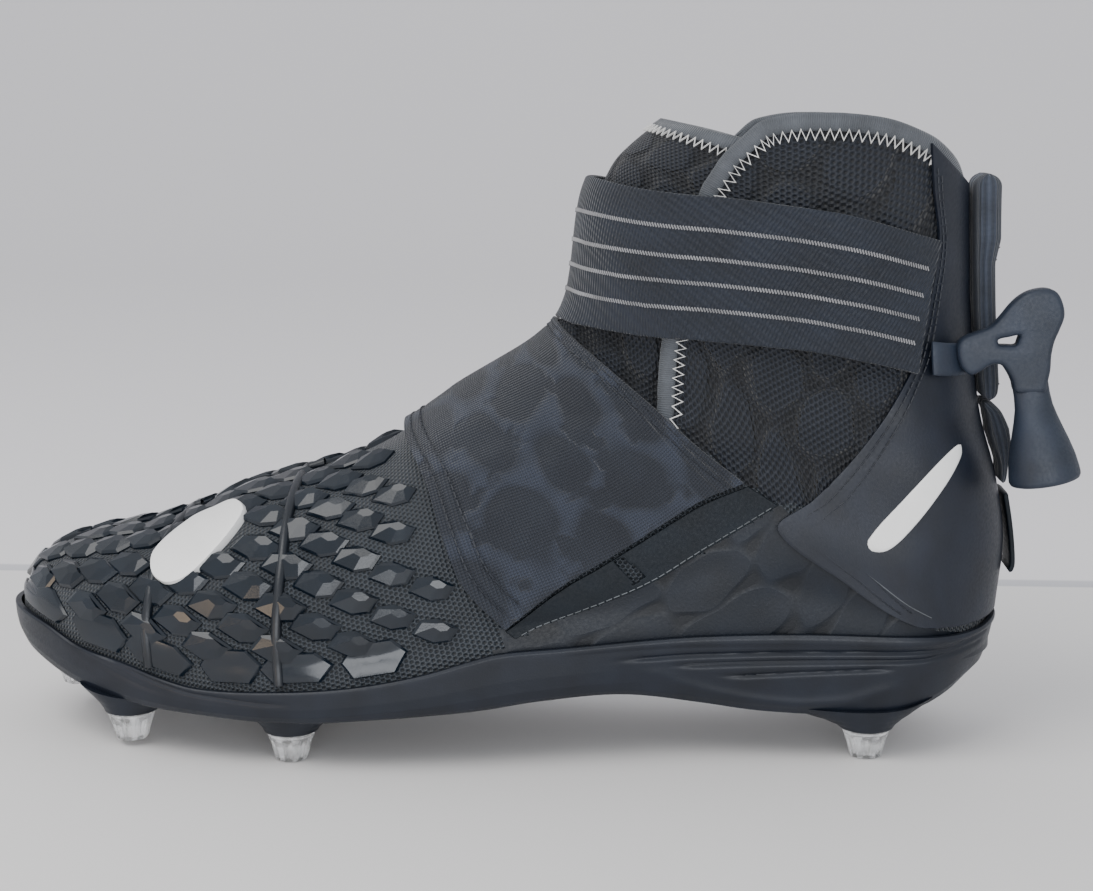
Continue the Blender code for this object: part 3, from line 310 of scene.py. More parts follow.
def column(rows: Sequence[NamedTuple], name: str) -> list[float]:
    """One named column of a table."""
    return [getattr(row, name) for row in rows]


def along(share: np.ndarray | float) -> np.ndarray | float:
    """x of a share of the sole length, counted from the toe."""
    return TOE_X + share * SOLE_LENGTH


def up(share: np.ndarray | float) -> np.ndarray | float:
    """z of a share of the body height, counted from the stud seats."""
    return STUD_HEIGHT + share * BODY_HEIGHT


def side_mm(x: float, z: float) -> SidePoint:
    """Side place measured in millimetres, from the middle of the sole and the floor."""
    return SidePoint((x * MM - TOE_X) / SOLE_LENGTH, (z * MM - STUD_HEIGHT) / BODY_HEIGHT)


def flat(places: Sequence[SidePoint]) -> np.ndarray:
    """Side places as rows of x and z in metres."""
    return np.array([(along(p.along), up(p.up)) for p in places])


def level(line: Sequence[Level], x: np.ndarray | float) -> np.ndarray:
    """Height of a line of the sole at x."""
    share = (np.asarray(x, float) - TOE_X) / SOLE_LENGTH
    return up(smooth_table(column(line, "along"), column(line, "height"), share))


def round_end(share: np.ndarray | float, power: float) -> np.ndarray:
    """Rise from 0 to 1 along a rounded corner."""
    inner = 1 - np.clip(share, 0, 1)
    return (1 - inner**power) ** (1 / power)


def squarish(value: np.ndarray, power: float) -> np.ndarray:
    """A sine or cosine pushed towards -1 and 1, for a section between round and square."""
    return np.sign(value) * np.abs(value) ** power


def profile_at(profile: Sequence[Sequence[float]], share: np.ndarray) -> np.ndarray:
    """Places between the corners of a profile, which stand at even shares of the way.

    Args:
        profile: The values of each corner.
        share: Shares of the way, 0 to 1.

    Returns:
        One row for each of a corner's values.
    """
    steps = np.linspace(0, 1, len(profile))
    return np.array([np.interp(share, steps, values) for values in zip(*profile)])


def ease(value: np.ndarray, start: float, stop: float) -> np.ndarray:
    """Soft step from 0 at start to 1 at stop."""
    t = np.clip((value - start) / (stop - start), 0, 1)
    return t * t * (3 - 2 * t)


def half_width(x: np.ndarray | float, side: int, inset: float) -> np.ndarray:
    """Distance from the centre line to the plan outline, before its ends are rounded.

    Args:
        x: Place along the sole.
        side: LATERAL or MEDIAL.
        inset: Distance from the outline.

    Returns:
        The distance in metres.
    """
    share = (np.asarray(x, float) - TOE_X) / SOLE_LENGTH
    name = "medial" if side > 0 else "lateral"
    return smooth_table(column(PLAN, "along"), column(PLAN, name), share) * BALL_WIDTH - inset


def centre_line(x: np.ndarray | float) -> np.ndarray:
    """y of the sole's centre line at x."""
    share = (np.asarray(x, float) - TOE_X) / SOLE_LENGTH
    return smooth_table(column(PLAN, "along"), column(PLAN, "centre"), share) * BALL_WIDTH


def plan_edge(x: np.ndarray | float, side: int, inset: np.ndarray | float) -> np.ndarray:
    """y of the plan outline at x, moved in from the edge by inset.

    Args:
        x: Place along the sole.
        side: LATERAL or MEDIAL.
        inset: Distance from the outline.

    Returns:
        y in metres.
    """
    length = SOLE_LENGTH - 2 * inset
    from_toe = (x - TOE_X - inset) / length
    caps = round_end(from_toe / TOE_ROUND, ROUND_POWER)
    caps = caps * round_end((1 - from_toe) / HEEL_ROUND, ROUND_POWER)
    return centre_line(x) + side * half_width(x, side, inset) * caps


def line_distance(points: np.ndarray, line: np.ndarray) -> np.ndarray:
    """Distance of flat points from a broken line.

    Args:
        points: Rows of x and z.
        line: Rows of x and z of the line's corners.

    Returns:
        One distance for each point.
    """
    best = np.full(len(points), np.inf)
    for a, b in zip(line, line[1:]):
        run = b - a
        t = np.clip(((points - a) @ run) / max(run @ run, 1e-12), 0, 1)
        best = np.minimum(best, np.linalg.norm(points - a - t[:, None] * run, axis=1))
    return best


def nearest_on(point: np.ndarray, line: np.ndarray) -> np.ndarray:
    """Nearest place of a broken line to a flat point.

    Args:
        point: x and z.
        line: Corners of the line.

    Returns:
        x and z of the nearest place.
    """
    best, found = np.inf, point
    for a, b in zip(line, line[1:]):
        run = b - a
        t = float(np.clip(((point - a) @ run) / max(run @ run, 1e-12), 0, 1))
        place = a + t * run
        gap = float(np.linalg.norm(point - place))
        if gap < best:
            best, found = gap, place
    return found


def inside(points: np.ndarray, outline: np.ndarray) -> np.ndarray:
    """Whether flat points lie within a closed outline.

    Args:
        points: Rows of x and z.
        outline: Corners of the outline.

    Returns:
        True for each point that lies within.
    """
    hits = np.zeros(len(points), bool)
    x, z = points[:, 0], points[:, 1]
    for (x0, z0), (x1, z1) in zip(outline, np.roll(outline, -1, axis=0)):
        if z0 == z1:
            continue
        crosses = (z0 > z) != (z1 > z)
        hits ^= crosses & (x < (x1 - x0) * (z - z0) / (z1 - z0) + x0)
    return hits


def resample(line: np.ndarray, count: int, closed: bool = False) -> np.ndarray:
    """Evenly spaced points on a smooth curve through the corners of a line.

    Args:
        line: Rows of coordinates.
        count: How many points to give.
        closed: Whether the line runs back to its start.

    Returns:
        Rows of coordinates; a closed line leaves out its doubled end.
    """
    rows = np.vstack([line[-2:], line, line[:3]]) if closed else np.asarray(line, float)
    way = np.concatenate([[0], np.cumsum(np.linalg.norm(np.diff(rows, axis=0), axis=1))])
    first, last = (way[2], way[-3]) if closed else (0.0, way[-1])
    fine = np.linspace(first, last, 16 * count)
    dense = np.stack([smooth_table(way, rows[:, k], fine) for k in range(rows.shape[1])], axis=1)
    length = np.concatenate([[0], np.cumsum(np.linalg.norm(np.diff(dense, axis=0), axis=1))])
    stops = np.linspace(0, length[-1], count, endpoint=not closed)
    return np.stack([np.interp(stops, length, dense[:, k]) for k in range(rows.shape[1])], axis=1)


def unit(vector: np.ndarray) -> np.ndarray:
    """The vector at a length of one."""
    return vector / np.linalg.norm(vector)


def length_of(line: np.ndarray) -> np.ndarray:
    """Distance from the start to each point of a line."""
    return np.concatenate([[0], np.cumsum(np.linalg.norm(np.diff(line, axis=0), axis=1))])


def point_on(line: np.ndarray, distance: float) -> np.ndarray:
    """Point at a distance along a line."""
    way = length_of(line)
    return np.array([np.interp(distance, way, values) for values in line.T])


def dashes(line: np.ndarray, stitch: Stitch) -> list[np.ndarray]:
    """Straight stitches that follow a line.

    Args:
        line: Rows of x, y and z.
        stitch: Their pitch and length.

    Returns:
        The two ends of each stitch.
    """
    stops = np.arange(stitch.pitch / 2, length_of(line)[-1] - stitch.pitch, stitch.pitch)
    return [np.array([point_on(line, stop), point_on(line, stop + stitch.length)]) for stop in stops]


class Last:
    """Outer surface of the upper; s counts its sections and v runs from ridge to foot."""

    S_STEPS = 16
    V_STEPS = 160

    def __init__(self) -> None:
        """Sample the surface once for each side."""
        self.s = np.linspace(0, len(SECTIONS) - 1, (len(SECTIONS) - 1) * self.S_STEPS + 1)
        rows = {name: self.rows(name) for name in Section._fields}
        self.top = np.stack([along(rows["along"]), up(rows["up"])], axis=1)
        back_x = along(rows["back"])
        back_z = level(BED_LINE, back_x) + FLAT_GAP + rows["rise"] * BODY_HEIGHT
        self.bottom = np.stack([back_x, back_z], axis=1)
        self.top[0, 1] = self.bottom[0, 1]
        self.shape = rows
        self.v = np.linspace(0, 1, self.V_STEPS + 1)
        self.points: dict[int, np.ndarray] = {}
        self.depth: dict[int, np.ndarray] = {}
        self.girth: dict[int, np.ndarray] = {}
        for side in (LATERAL, MEDIAL):
            self.points[side], self.depth[side], self.girth[side] = self.sample(side)
        self.normals = {side: self.find_normals(side) for side in (LATERAL, MEDIAL)}
        middle = self.points[LATERAL][:, self.V_STEPS // 2]
        steps = np.linalg.norm(np.diff(middle, axis=0), axis=1)
        self.run = np.concatenate([[0], np.cumsum(steps)])

    def rows(self, name: str) -> np.ndarray:
        """One column of the sections at every sampled s.

        Args:
            name: Name of the column.

        Returns:
            Its values.
        """
        values = column(SECTIONS, name)
        if name == "open_foot":
            return np.interp(self.s, range(len(SECTIONS)), values)
        return smooth_table(range(len(SECTIONS)), values, self.s)

    def section(self, i: int, h: np.ndarray, side: int) -> np.ndarray:
        """Points of section i at the shares h of the way from its top to its foot.

        Args:
            i: Number of the section.
            h: Shares of the way.
            side: LATERAL or MEDIAL.

        Returns:
            Rows of x, y and z.
        """
        row = {name: values[i] for name, values in self.shape.items()}
        x = self.top[i, 0] + (self.bottom[i, 0] - self.top[i, 0]) * h
        z = self.top[i, 1] + (self.bottom[i, 1] - self.top[i, 1]) * h
        toe = round_end((x - TOE_X - UPPER_INSET) / (TOE_ROUND * SOLE_LENGTH), ROUND_POWER)
        inner_heel = HEEL_X - UPPER_INSET
        on_sole = row["open_foot"] > 0.5
        end_x = max(inner_heel, self.bottom[i, 0]) if on_sole else self.bottom[i, 0]
        heel = round_end((end_x - x) / (row["end"] * SOLE_LENGTH), row["end_power"])
        crown = round_end(h / row["crown_at"], row["crown"])
        reach = row["medial"] if side > 0 else row["lateral"]
        settled_at = row["crown_at"] + SETTLE_SHARE * (1 - row["crown_at"])
        below = np.clip((h - row["crown_at"]) / (settled_at - row["crown_at"]), 0, 1)
        settle = row["open_foot"] * below * below * (3 - 2 * below)
        scale = reach + (1 - reach) * settle
        y = half_width(x, side, UPPER_INSET) * toe * heel * crown * scale
        return np.stack([x, centre_line(x) + side * y, z], axis=1)

    def sample(self, side: int) -> tuple[np.ndarray, np.ndarray, np.ndarray]:
        """Points evenly spaced along each section, their share h and the girth.

        Args:
            side: LATERAL or MEDIAL.

        Returns:
            The points, the shares and the length of each section.
        """
        h = (1 - np.cos(np.pi * np.linspace(0, 1, 321))) / 2
        grid = np.empty((len(self.s), len(self.v), 3))
        depth = np.empty((len(self.s), len(self.v)))
        girth = np.empty(len(self.s))
        for i in range(len(self.s)):
            line = self.section(i, h, side)
            steps = np.linalg.norm(np.diff(line, axis=0), axis=1)
            way = np.concatenate([[0], np.cumsum(steps)])
            girth[i] = way[-1]
            way = way / way[-1] if way[-1] > 0 else h
            depth[i] = np.interp(self.v, way, h)
            for axis in range(3):
                grid[i, :, axis] = np.interp(self.v, way, line[:, axis])
        return grid, depth, girth

    def find_normals(self, side: int) -> np.ndarray:
        """Outward unit normals of the sampled points.

        Args:
            side: LATERAL or MEDIAL.

        Returns:
            One normal for each point.
        """
        grid = self.points[side]
        other = self.points[-side]
        wide = np.concatenate([other[:, 2:0:-1], grid, other[:, -2:-4:-1]], axis=1)
        open_rows = self.shape["open_foot"] > 0.5
        wide[open_rows, -2:] = 2 * grid[open_rows, -1:] - grid[open_rows, -2:-4:-1]
        normal = np.cross(np.gradient(wide, axis=1), np.gradient(wide, axis=0))[:, 2:-2] * -side
        normal = normal / np.maximum(np.linalg.norm(normal, axis=2, keepdims=True), 1e-12)
        normal[0] = (-1, 0, 0)
        return normal

    def at(self, s: np.ndarray, w: np.ndarray, lift: np.ndarray | float = 0.0) -> np.ndarray:
        """Points of the surface.

        Args:
            s: Section numbers.
            w: Shares v, negative on the lateral side.
            lift: Distance to move out along the normal, in metres.

        Returns:
            Rows of x, y and z.
        """
        s = np.clip(np.asarray(s, float), 0, self.s[-1]) * self.S_STEPS
        w = np.asarray(w, float)
        v = np.clip(np.abs(w), 0, 1) * self.V_STEPS
        s, v = np.broadcast_arrays(s, v)
        i = np.minimum(s.astype(int), len(self.s) - 2)
        j = np.minimum(v.astype(int), len(self.v) - 2)
        a, b = (s - i)[..., None], (v - j)[..., None]
        point = np.zeros(s.shape + (3,))
        normal = np.zeros(s.shape + (3,))
        for side in (LATERAL, MEDIAL):
            chosen = ((w > 0) if side > 0 else (w <= 0))[..., None]
            for grid, total in ((self.points[side], point), (self.normals[side], normal)):
                low = grid[i, j] * (1 - b) + grid[i, j + 1] * b
                high = grid[i + 1, j] * (1 - b) + grid[i + 1, j + 1] * b
                total += np.where(chosen, low * (1 - a) + high * a, 0)
        length = np.maximum(np.linalg.norm(normal, axis=-1, keepdims=True), 1e-9)
        return point + np.asarray(lift, float)[..., None] * normal / length

    def cloth(self, s: np.ndarray, w: np.ndarray) -> np.ndarray:
        """Cloth coordinates in millimetres: along the shoe, and round from the ridge.

        Args:
            s: Section numbers.
            w: Signed shares round the section.

        Returns:
            Rows of two coordinates.
        """
        s = np.asarray(s, float)
        w = np.asarray(w, float)
        run = np.interp(s, self.s, self.run)
        lateral = np.interp(s, self.s, self.girth[LATERAL])
        medial = np.interp(s, self.s, self.girth[MEDIAL])
        return np.stack([run, w * np.where(w > 0, medial, lateral)], axis=-1) / MM

    def find(self, x: float, z: float, side: int) -> tuple[float, float]:
        """s and v of the surface point that lies at x and z in side view.

        Args:
            x: Place along the shoe.
            z: Height.
            side: LATERAL or MEDIAL.

        Returns:
            The section number and the share round it.
        """
        here = np.array([x, z])
        run = self.bottom - self.top
        offset = here - self.top
        cross = run[:, 0] * offset[:, 1] - run[:, 1] * offset[:, 0]
        swaps = np.nonzero((cross[1:-1] > 0) & (cross[2:] <= 0))[0] + 1
        i = int(swaps[0]) if len(swaps) else len(self.s) - 2
        share = cross[i] / (cross[i] - cross[i + 1]) if len(swaps) else 0.0
        top = self.top[i] + (self.top[i + 1] - self.top[i]) * share
        bottom = self.bottom[i] + (self.bottom[i + 1] - self.bottom[i]) * share
        line = bottom - top
        h = float(np.clip(np.dot(here - top, line) / np.dot(line, line), 0, 1))
        return (i + share) / self.S_STEPS, float(np.interp(h, self.depth[side][i], self.v))

    def lay(self, places: np.ndarray, side: int, lift: np.ndarray | float) -> np.ndarray:
        """Points of the surface that lie at flat places in side view."""
        found = np.array([self.find(x, z, side) for x, z in places])
        return self.at(found[:, 0], found[:, 1] * side, lift)

    def edge(
        self, places: Sequence[SidePoint], side: int, end: float | None = None
    ) -> Callable[[np.ndarray], tuple[np.ndarray, np.ndarray]]:
        """An edge drawn in side view, as a function of the share of the way along it.

        Args:
            places: Corners of the edge, which is smoothed through them.
            side: LATERAL or MEDIAL.
            end: The v that the first corner is pinned to.

        Returns:
            A function from shares of the way to s and v.
        """
        line = resample(flat(places), 5 * len(places)) if len(places) > 3 else flat(places)
        found = np.array([self.find(x, z, side) for x, z in line])
        if end is not None:
            found[0, 1] = end
        way = self.way(self.at(found[:, 0], found[:, 1] * side))
        fine = np.linspace(0, 1, 121)
        s_line = smooth_table(way, found[:, 0], fine)
        v_line = smooth_table(way, found[:, 1], fine)
        even = self.way(self.at(s_line, v_line * side))
        return lambda w: (np.interp(w, even, s_line), np.interp(w, even, v_line))

    @staticmethod
    def way(points: np.ndarray) -> np.ndarray:
        """Share of the distance along a line of points."""
        total = np.concatenate([[0], np.cumsum(np.linalg.norm(np.diff(points, axis=0), axis=1))])
        return total / total[-1]

    def back_row(self, share: np.ndarray | float) -> np.ndarray:
        """s of the section that reaches the back of the heel at a height share."""
        first = int(np.argmax(self.shape["open_foot"] < 0.999)) - 1
        return np.interp(up(share), self.bottom[first:, 1], self.s[first:])

    def back_x(self, share: np.ndarray | float) -> np.ndarray:
        """x of the back of the heel at a height share."""
        return np.interp(self.back_row(share), self.s, self.bottom[:, 0])


class Pattern(Enum):
    """Surface textures of the shoe's materials."""

    MOULDED = "moulded"
    KNIT = "knit"
    NET = "net"
    WOVEN = "woven"
    RIBBED = "ribbed"
    CORDED = "corded"
    GRAIN = "grain"
    CLEAR = "clear"


class Nodes:
    """Small helper that adds and joins shader nodes."""

    def __init__(self, tree: bpy.types.NodeTree) -> None:
        """Keep the tree that the nodes go into."""
        self.tree = tree

    def add(self, kind: str, **settings: object) -> bpy.types.Node:
        """Add a node and set its properties.

        Args:
            kind: Type name of the node.
            settings: Properties and their values.

        Returns:
            The node.
        """
        node = self.tree.nodes.new(kind)
        for name, value in settings.items():
            setattr(node, name, value)
        return node

    def join(self, source: bpy.types.NodeSocket, target: bpy.types.NodeSocket) -> None:
        """Link two sockets."""
        self.tree.links.new(source, target)

    def math(self, operation: str, first: object, second: object = 0.0) -> bpy.types.NodeSocket:
        """Result of a Math node whose inputs are sockets or numbers.

        Args:
            operation: What the node works out.
            first: First input.
            second: Second input.

        Returns:
            The node's output.
        """
        node = self.add("ShaderNodeMath", operation=operation)
        for socket, value in zip(node.inputs, (first, second)):
            if isinstance(value, bpy.types.NodeSocket):
                self.join(value, socket)
            else:
                socket.default_value = value
        return node.outputs[0]


def new_group(name: str, inputs: Sequence[tuple[str, str]], output: str) -> bpy.types.NodeTree:
    """Empty node group with named inputs and one number as its output.

    Args:
        name: Name of the group.
        inputs: Name and socket type of each input.
        output: Name of the output.

    Returns:
        The group's tree.
    """
    tree = bpy.data.node_groups.new(name, "ShaderNodeTree")
    for label, kind in inputs:
        tree.interface.new_socket(name=label, in_out="INPUT", socket_type=kind)
    tree.interface.new_socket(name=output, in_out="OUTPUT", socket_type="NodeSocketFloat")
    return tree


def waves_group(name: str, directions: Sequence[tuple[float, float]], product: bool) -> bpy.types.NodeTree:
    """Group that adds or multiplies cosine waves running in several directions.

    Args:
        name: Name of the group.
        directions: x and y of each wave's direction; longer is finer.
        product: Whether the waves are multiplied.

    Returns:
        The node group, with inputs Place and Pitch and an output from -1 to 1.
    """
    inputs = [("Place", "NodeSocketVector"), ("Pitch", "NodeSocketFloat")]
    tree = new_group(name, inputs, "Height")
    nodes = Nodes(tree)
    enter = nodes.add("NodeGroupInput")
    leave = nodes.add("NodeGroupOutput")
    split = nodes.add("ShaderNodeSeparateXYZ")
    nodes.join(enter.outputs["Place"], split.inputs[0])
    total = None
    for dx, dy in directions:
        part = nodes.math("ADD", nodes.math("MULTIPLY", split.outputs[0], dx),
                          nodes.math("MULTIPLY", split.outputs[1], dy))
        turns = nodes.math("DIVIDE", part, enter.outputs["Pitch"])
        wave = nodes.math("COSINE", nodes.math("MULTIPLY", turns, 2 * math.pi))
        if total is None:
            total = wave
        else:
            total = nodes.math("MULTIPLY" if product else "ADD", total, wave)
    if not product:
        total = nodes.math("DIVIDE", total, float(len(directions)))
    nodes.join(total, leave.inputs[0])
    return tree


WAVES = {
    Pattern.KNIT: ([(1.0, 0.0), (0.5, 0.866), (-0.5, 0.866)], False),
    Pattern.NET: ([(1.0, 0.0), (0.5, 0.866), (-0.5, 0.866)], False),
    Pattern.WOVEN: ([(0.5, 0.5), (0.5, -0.5)], True),
    Pattern.RIBBED: ([(0.0, 1.0), (0.35, 0.0)], False),
    Pattern.CORDED: ([(0.0, 1.0)], False),
}


def pattern_group(pattern: Pattern) -> bpy.types.NodeTree:
    """Shared node group of a woven pattern.

    Args:
        pattern: One of the patterns in WAVES.

    Returns:
        The group's tree.
    """
    name = "pattern_" + pattern.value
    found = bpy.data.node_groups.get(name)
    if found is None:
        directions, product = WAVES[pattern]
        found = waves_group(name, directions, product)
    return found


@dataclass(frozen=True)
class Finish:
    """One material: colour, gloss and the texture in its surface, sizes in millimetres."""

    name: str
    slot: str
    colour: tuple[float, float, float]
    roughness: float
    pattern: Pattern = Pattern.MOULDED
    pitch: float = 1.0
    depth: float = 0.10
    # How far the weave's low places are darkened: painted shade in its recesses.
    hollow: float = 0.0
    mottle: float = 0.25
    mottle_size: float = 12.0
    tint: tuple[float, float, float] | None = None
    coat: float = 0.0
    sheen: float = 0.0
    specular: float = 0.5
    clear: float = 0.0
    cells: float = 0.0
    cell_size: tuple[float, float] = (22.0, 11.0)
    # Colour share along the cell creases: below one a painted shade, above one a painted highlight.
    cell_tone: float = 0.7
    cell_edge: tuple[float, float] = (-0.42, -0.10)
    on_cloth: bool = True

    def build(self) -> bpy.types.Material:
        """The Blender material, made once.

        Returns:
            The material.
        """
        found = bpy.data.materials.get(self.name)
        if found is not None:
            return found
        material = bpy.data.materials.new(self.name)
        material.use_nodes = True
        nodes = Nodes(material.node_tree)
        shader = material.node_tree.nodes["Principled BSDF"]
        shader.inputs["Base Color"].default_value = (*self.colour, 1)
        shader.inputs["Roughness"].default_value = self.roughness
        shader.inputs["Specular IOR Level"].default_value = self.specular
        shader.inputs["Coat Weight"].default_value = self.coat
        shader.inputs["Coat Roughness"].default_value = 0.08
        shader.inputs["Sheen Weight"].default_value = self.sheen
        shader.inputs["Sheen Roughness"].default_value = 0.4
        shader.inputs["Transmission Weight"].default_value = self.clear
        place = self.place(nodes)
        self.paint(nodes, shader, place)
        return material

    def place(self, nodes: Nodes) -> bpy.types.NodeSocket:
        """Pattern coordinates in millimetres.

        Args:
            nodes: The material's nodes.

        Returns:
            Their socket.
        """
        if self.on_cloth:
            return nodes.add("ShaderNodeUVMap", uv_map="cloth").outputs[0]
        source = nodes.add("ShaderNodeTexCoord")
        scale = nodes.add("ShaderNodeMapping")
        scale.inputs["Scale"].default_value = (1000, 1000, 1000)
        nodes.join(source.outputs["Object"], scale.inputs["Vector"])
        return scale.outputs[0]

    def noise(self, nodes: Nodes, place: bpy.types.NodeSocket, size: float, detail: float,
              ) -> bpy.types.NodeSocket:
        """Noise whose features are about size millimetres wide.

        Args:
            nodes: The material's nodes.
            place: Pattern coordinates.
            size: Width of a feature.
            detail: Octaves of finer noise.

        Returns:
            The noise, 0 to 1.
        """
        node = nodes.add("ShaderNodeTexNoise")
        node.inputs["Scale"].default_value = 1.0 / size
        node.inputs["Detail"].default_value = detail
        nodes.join(place, node.inputs["Vector"])
        return node.outputs["Fac"]

    def fit(self, nodes: Nodes, value: bpy.types.NodeSocket, low: float, high: float,
            start: float = 0.0, stop: float = 1.0) -> bpy.types.NodeSocket:
        """Value mapped from start..stop to low..high and kept there.

        Args:
            nodes: The material's nodes.
            value: Socket to map.
            low: Result at start.
            high: Result at stop.
            start: Value that gives low.
            stop: Value that gives high.

        Returns:
            The mapped value.
        """
        node = nodes.add("ShaderNodeMapRange")
        node.inputs["From Min"].default_value = start
        node.inputs["From Max"].default_value = stop
        node.inputs["To Min"].default_value = low
        node.inputs["To Max"].default_value = high
        nodes.join(value, node.inputs["Value"])
        return node.outputs[0]

    def blend(self, nodes: Nodes, share: bpy.types.NodeSocket, first: object, second: object,
              ) -> bpy.types.NodeSocket:
        """Colour mixed from two colours or sockets by a share.

        Args:
            nodes: The material's nodes.
            share: 0 for the first colour, 1 for the second.
            first: A colour or a socket.
            second: A colour or a socket.

        Returns:
            The mixed colour.
        """
        node = nodes.add("ShaderNodeMix", data_type="RGBA")
        nodes.join(share, node.inputs["Factor"])
        for socket, value in zip((node.inputs[6], node.inputs[7]), (first, second)):
            if isinstance(value, bpy.types.NodeSocket):
                nodes.join(value, socket)
            else:
                socket.default_value = (*value, 1)
        return node.outputs[2]

    def bump(self, nodes: Nodes, height: bpy.types.NodeSocket, depth: float,
             under: bpy.types.NodeSocket | None) -> bpy.types.NodeSocket:
        """Normal bent by a height, whose full swing is depth millimetres.

        Args:
            nodes: The material's nodes.
            height: Socket with the height.
            depth: Full swing in millimetres.
            under: Normal to bend on from, if there is one.

        Returns:
            The bent normal.
        """
        node = nodes.add("ShaderNodeBump")
        node.inputs["Distance"].default_value = depth * MM
        node.inputs["Strength"].default_value = 1.0
        nodes.join(height, node.inputs["Height"])
        if under is not None:
            nodes.join(under, node.inputs["Normal"])
        return node.outputs[0]

    def paint(self, nodes: Nodes, shader: bpy.types.Node, place: bpy.types.NodeSocket) -> None:
        """Join colour, roughness and relief to the shader; the colour has painted shade in the weave's low
        places and painted light along the cell creases.

        Args:
            nodes: The material's nodes.
            shader: The Principled shader.
            place: Pattern coordinates.
        """
        blotch = self.noise(nodes, place, self.mottle_size, 3.0)
        dark = tuple(c * (1 - self.mottle) for c in self.colour)
        light = self.tint or tuple(c * (1 + self.mottle) for c in self.colour)
        colour = self.blend(nodes, self.fit(nodes, blotch, 0, 1, 0.3, 0.7), dark, light)
        fine = self.noise(nodes, place, 0.9, 4.0)
        rough = self.fit(nodes, fine, self.roughness * 0.82, min(self.roughness * 1.18, 1), 0.3, 0.7)
        normal = None
        if self.cells > 0:
            edges, normal = self.cell_creases(nodes, place)
            # Painted light along the cell creases: painted shade where they are darker, painted highlight
            # where they are lighter.
            colour = self.blend(nodes, edges, tuple(c * self.cell_tone for c in self.colour), colour)
        if self.pattern in WAVES:
            group = nodes.add("ShaderNodeGroup", node_tree=pattern_group(self.pattern))
            group.inputs["Pitch"].default_value = self.pitch
            nodes.join(place, group.inputs["Place"])
            height = group.outputs[0]
            if self.pattern in (Pattern.KNIT, Pattern.NET):
                height = nodes.math("MULTIPLY", height, -1.0)
            normal = self.bump(nodes, height, self.depth, normal)
            deep = self.fit(nodes, height, 1, 0, -0.9, -0.1)
            # Darker towards an eighth of the colour in the weave's low places: painted shade in its recesses.
            if self.hollow > 0:
                share = nodes.math("MULTIPLY", deep, self.hollow)
                colour = self.blend(nodes, share, colour, tuple(c * 0.12 for c in self.colour))
        else:
            size = 0.8 if self.pattern is Pattern.GRAIN else 0.45
            grain = self.noise(nodes, place, size * self.pitch, 5.0)
            normal = self.bump(nodes, grain, self.depth, normal)
        nodes.join(colour, shader.inputs["Base Color"])
        nodes.join(rough, shader.inputs["Roughness"])
        nodes.join(normal, shader.inputs["Normal"])

    def cell_creases(self, nodes: Nodes, place: bpy.types.NodeSocket,
                     ) -> tuple[bpy.types.NodeSocket, bpy.types.NodeSocket]:
        """Large uneven six-sided cells drawn by soft creases, with painted light along them: darker creases
        are painted shade, and a tone above one paints lighter raised ridges, a painted highlight.

        Args:
            nodes: The material's nodes.
            place: Pattern coordinates.

        Returns:
            Where the creases lie, and the normal that they bend.
        """
        noise = nodes.add("ShaderNodeTexNoise")
        noise.inputs["Scale"].default_value = 0.045
        noise.inputs["Detail"].default_value = 1.0
        nodes.join(place, noise.inputs["Vector"])
        shift = nodes.add("ShaderNodeVectorMath", operation="MULTIPLY_ADD")
        nodes.join(noise.outputs["Color"], shift.inputs[0])
        shift.inputs[1].default_value = (14.0, 14.0, 0.0)
        nodes.join(place, shift.inputs[2])
        shrink = nodes.add("ShaderNodeMapping")
        wide, high = self.cell_size
        shrink.inputs["Scale"].default_value = (1 / wide, 1 / high, 1)
        nodes.join(shift.outputs[0], shrink.inputs["Vector"])
        cell = nodes.add("ShaderNodeGroup", node_tree=pattern_group(Pattern.NET))
        cell.inputs["Pitch"].default_value = 1.0
        nodes.join(shrink.outputs[0], cell.inputs["Place"])
        edge = self.fit(nodes, cell.outputs[0], 0, 1, *self.cell_edge)
        # A tone above one turns the creases into raised ridges, lighter in patches: a painted highlight.
        if self.cell_tone > 1:
            patchy = self.fit(nodes, self.noise(nodes, place, 11.0, 2.0), 0, 1, 0.50, 0.60)
            edge = nodes.math("MAXIMUM", edge, patchy)
            return edge, self.bump(nodes, nodes.math("MULTIPLY", edge, -1.0), self.cells, None)
        return edge, self.bump(nodes, edge, self.cells, None)


KNIT_VAMP = Finish("vamp_knit", "mesh", (0.019, 0.025, 0.033), 0.50, Pattern.KNIT, 1.25, 0.45, 0.85, 0.15,
                   sheen=0.15)
KNIT_COLLAR = Finish("collar_mesh", "mesh", (0.007, 0.010, 0.017), 0.62, Pattern.NET, 1.6, 0.42, 0.85, 0.15,
                     cells=1.5, cell_size=(24.0, 17.0), cell_tone=0.45, cell_edge=(-0.45, -0.18), sheen=0.12,
                     specular=0.42)
QUARTER = Finish("quarter_skin", "leather", (0.003, 0.006, 0.012), 0.42, Pattern.GRAIN, 1.0, 0.04,
                 cells=0.16, cell_size=(25.0, 14.0), cell_tone=0.5, cell_edge=(-0.45, -0.30), specular=0.3)
LINING = Finish("lining_cloth", "mesh", (0.009, 0.011, 0.016), 0.85, Pattern.KNIT, 1.1, 0.2, 0.5, sheen=0.1)
SCALE_GLOSS = Finish("scale_gloss", "scale", (0.004, 0.008, 0.014), 0.15, Pattern.MOULDED, 1.0, 0.01,
                     on_cloth=False)
CORD_SKIN = Finish("cord_skin", "leather", (0.004, 0.007, 0.012), 0.34, Pattern.GRAIN, 1.0, 0.06,
                   on_cloth=False)
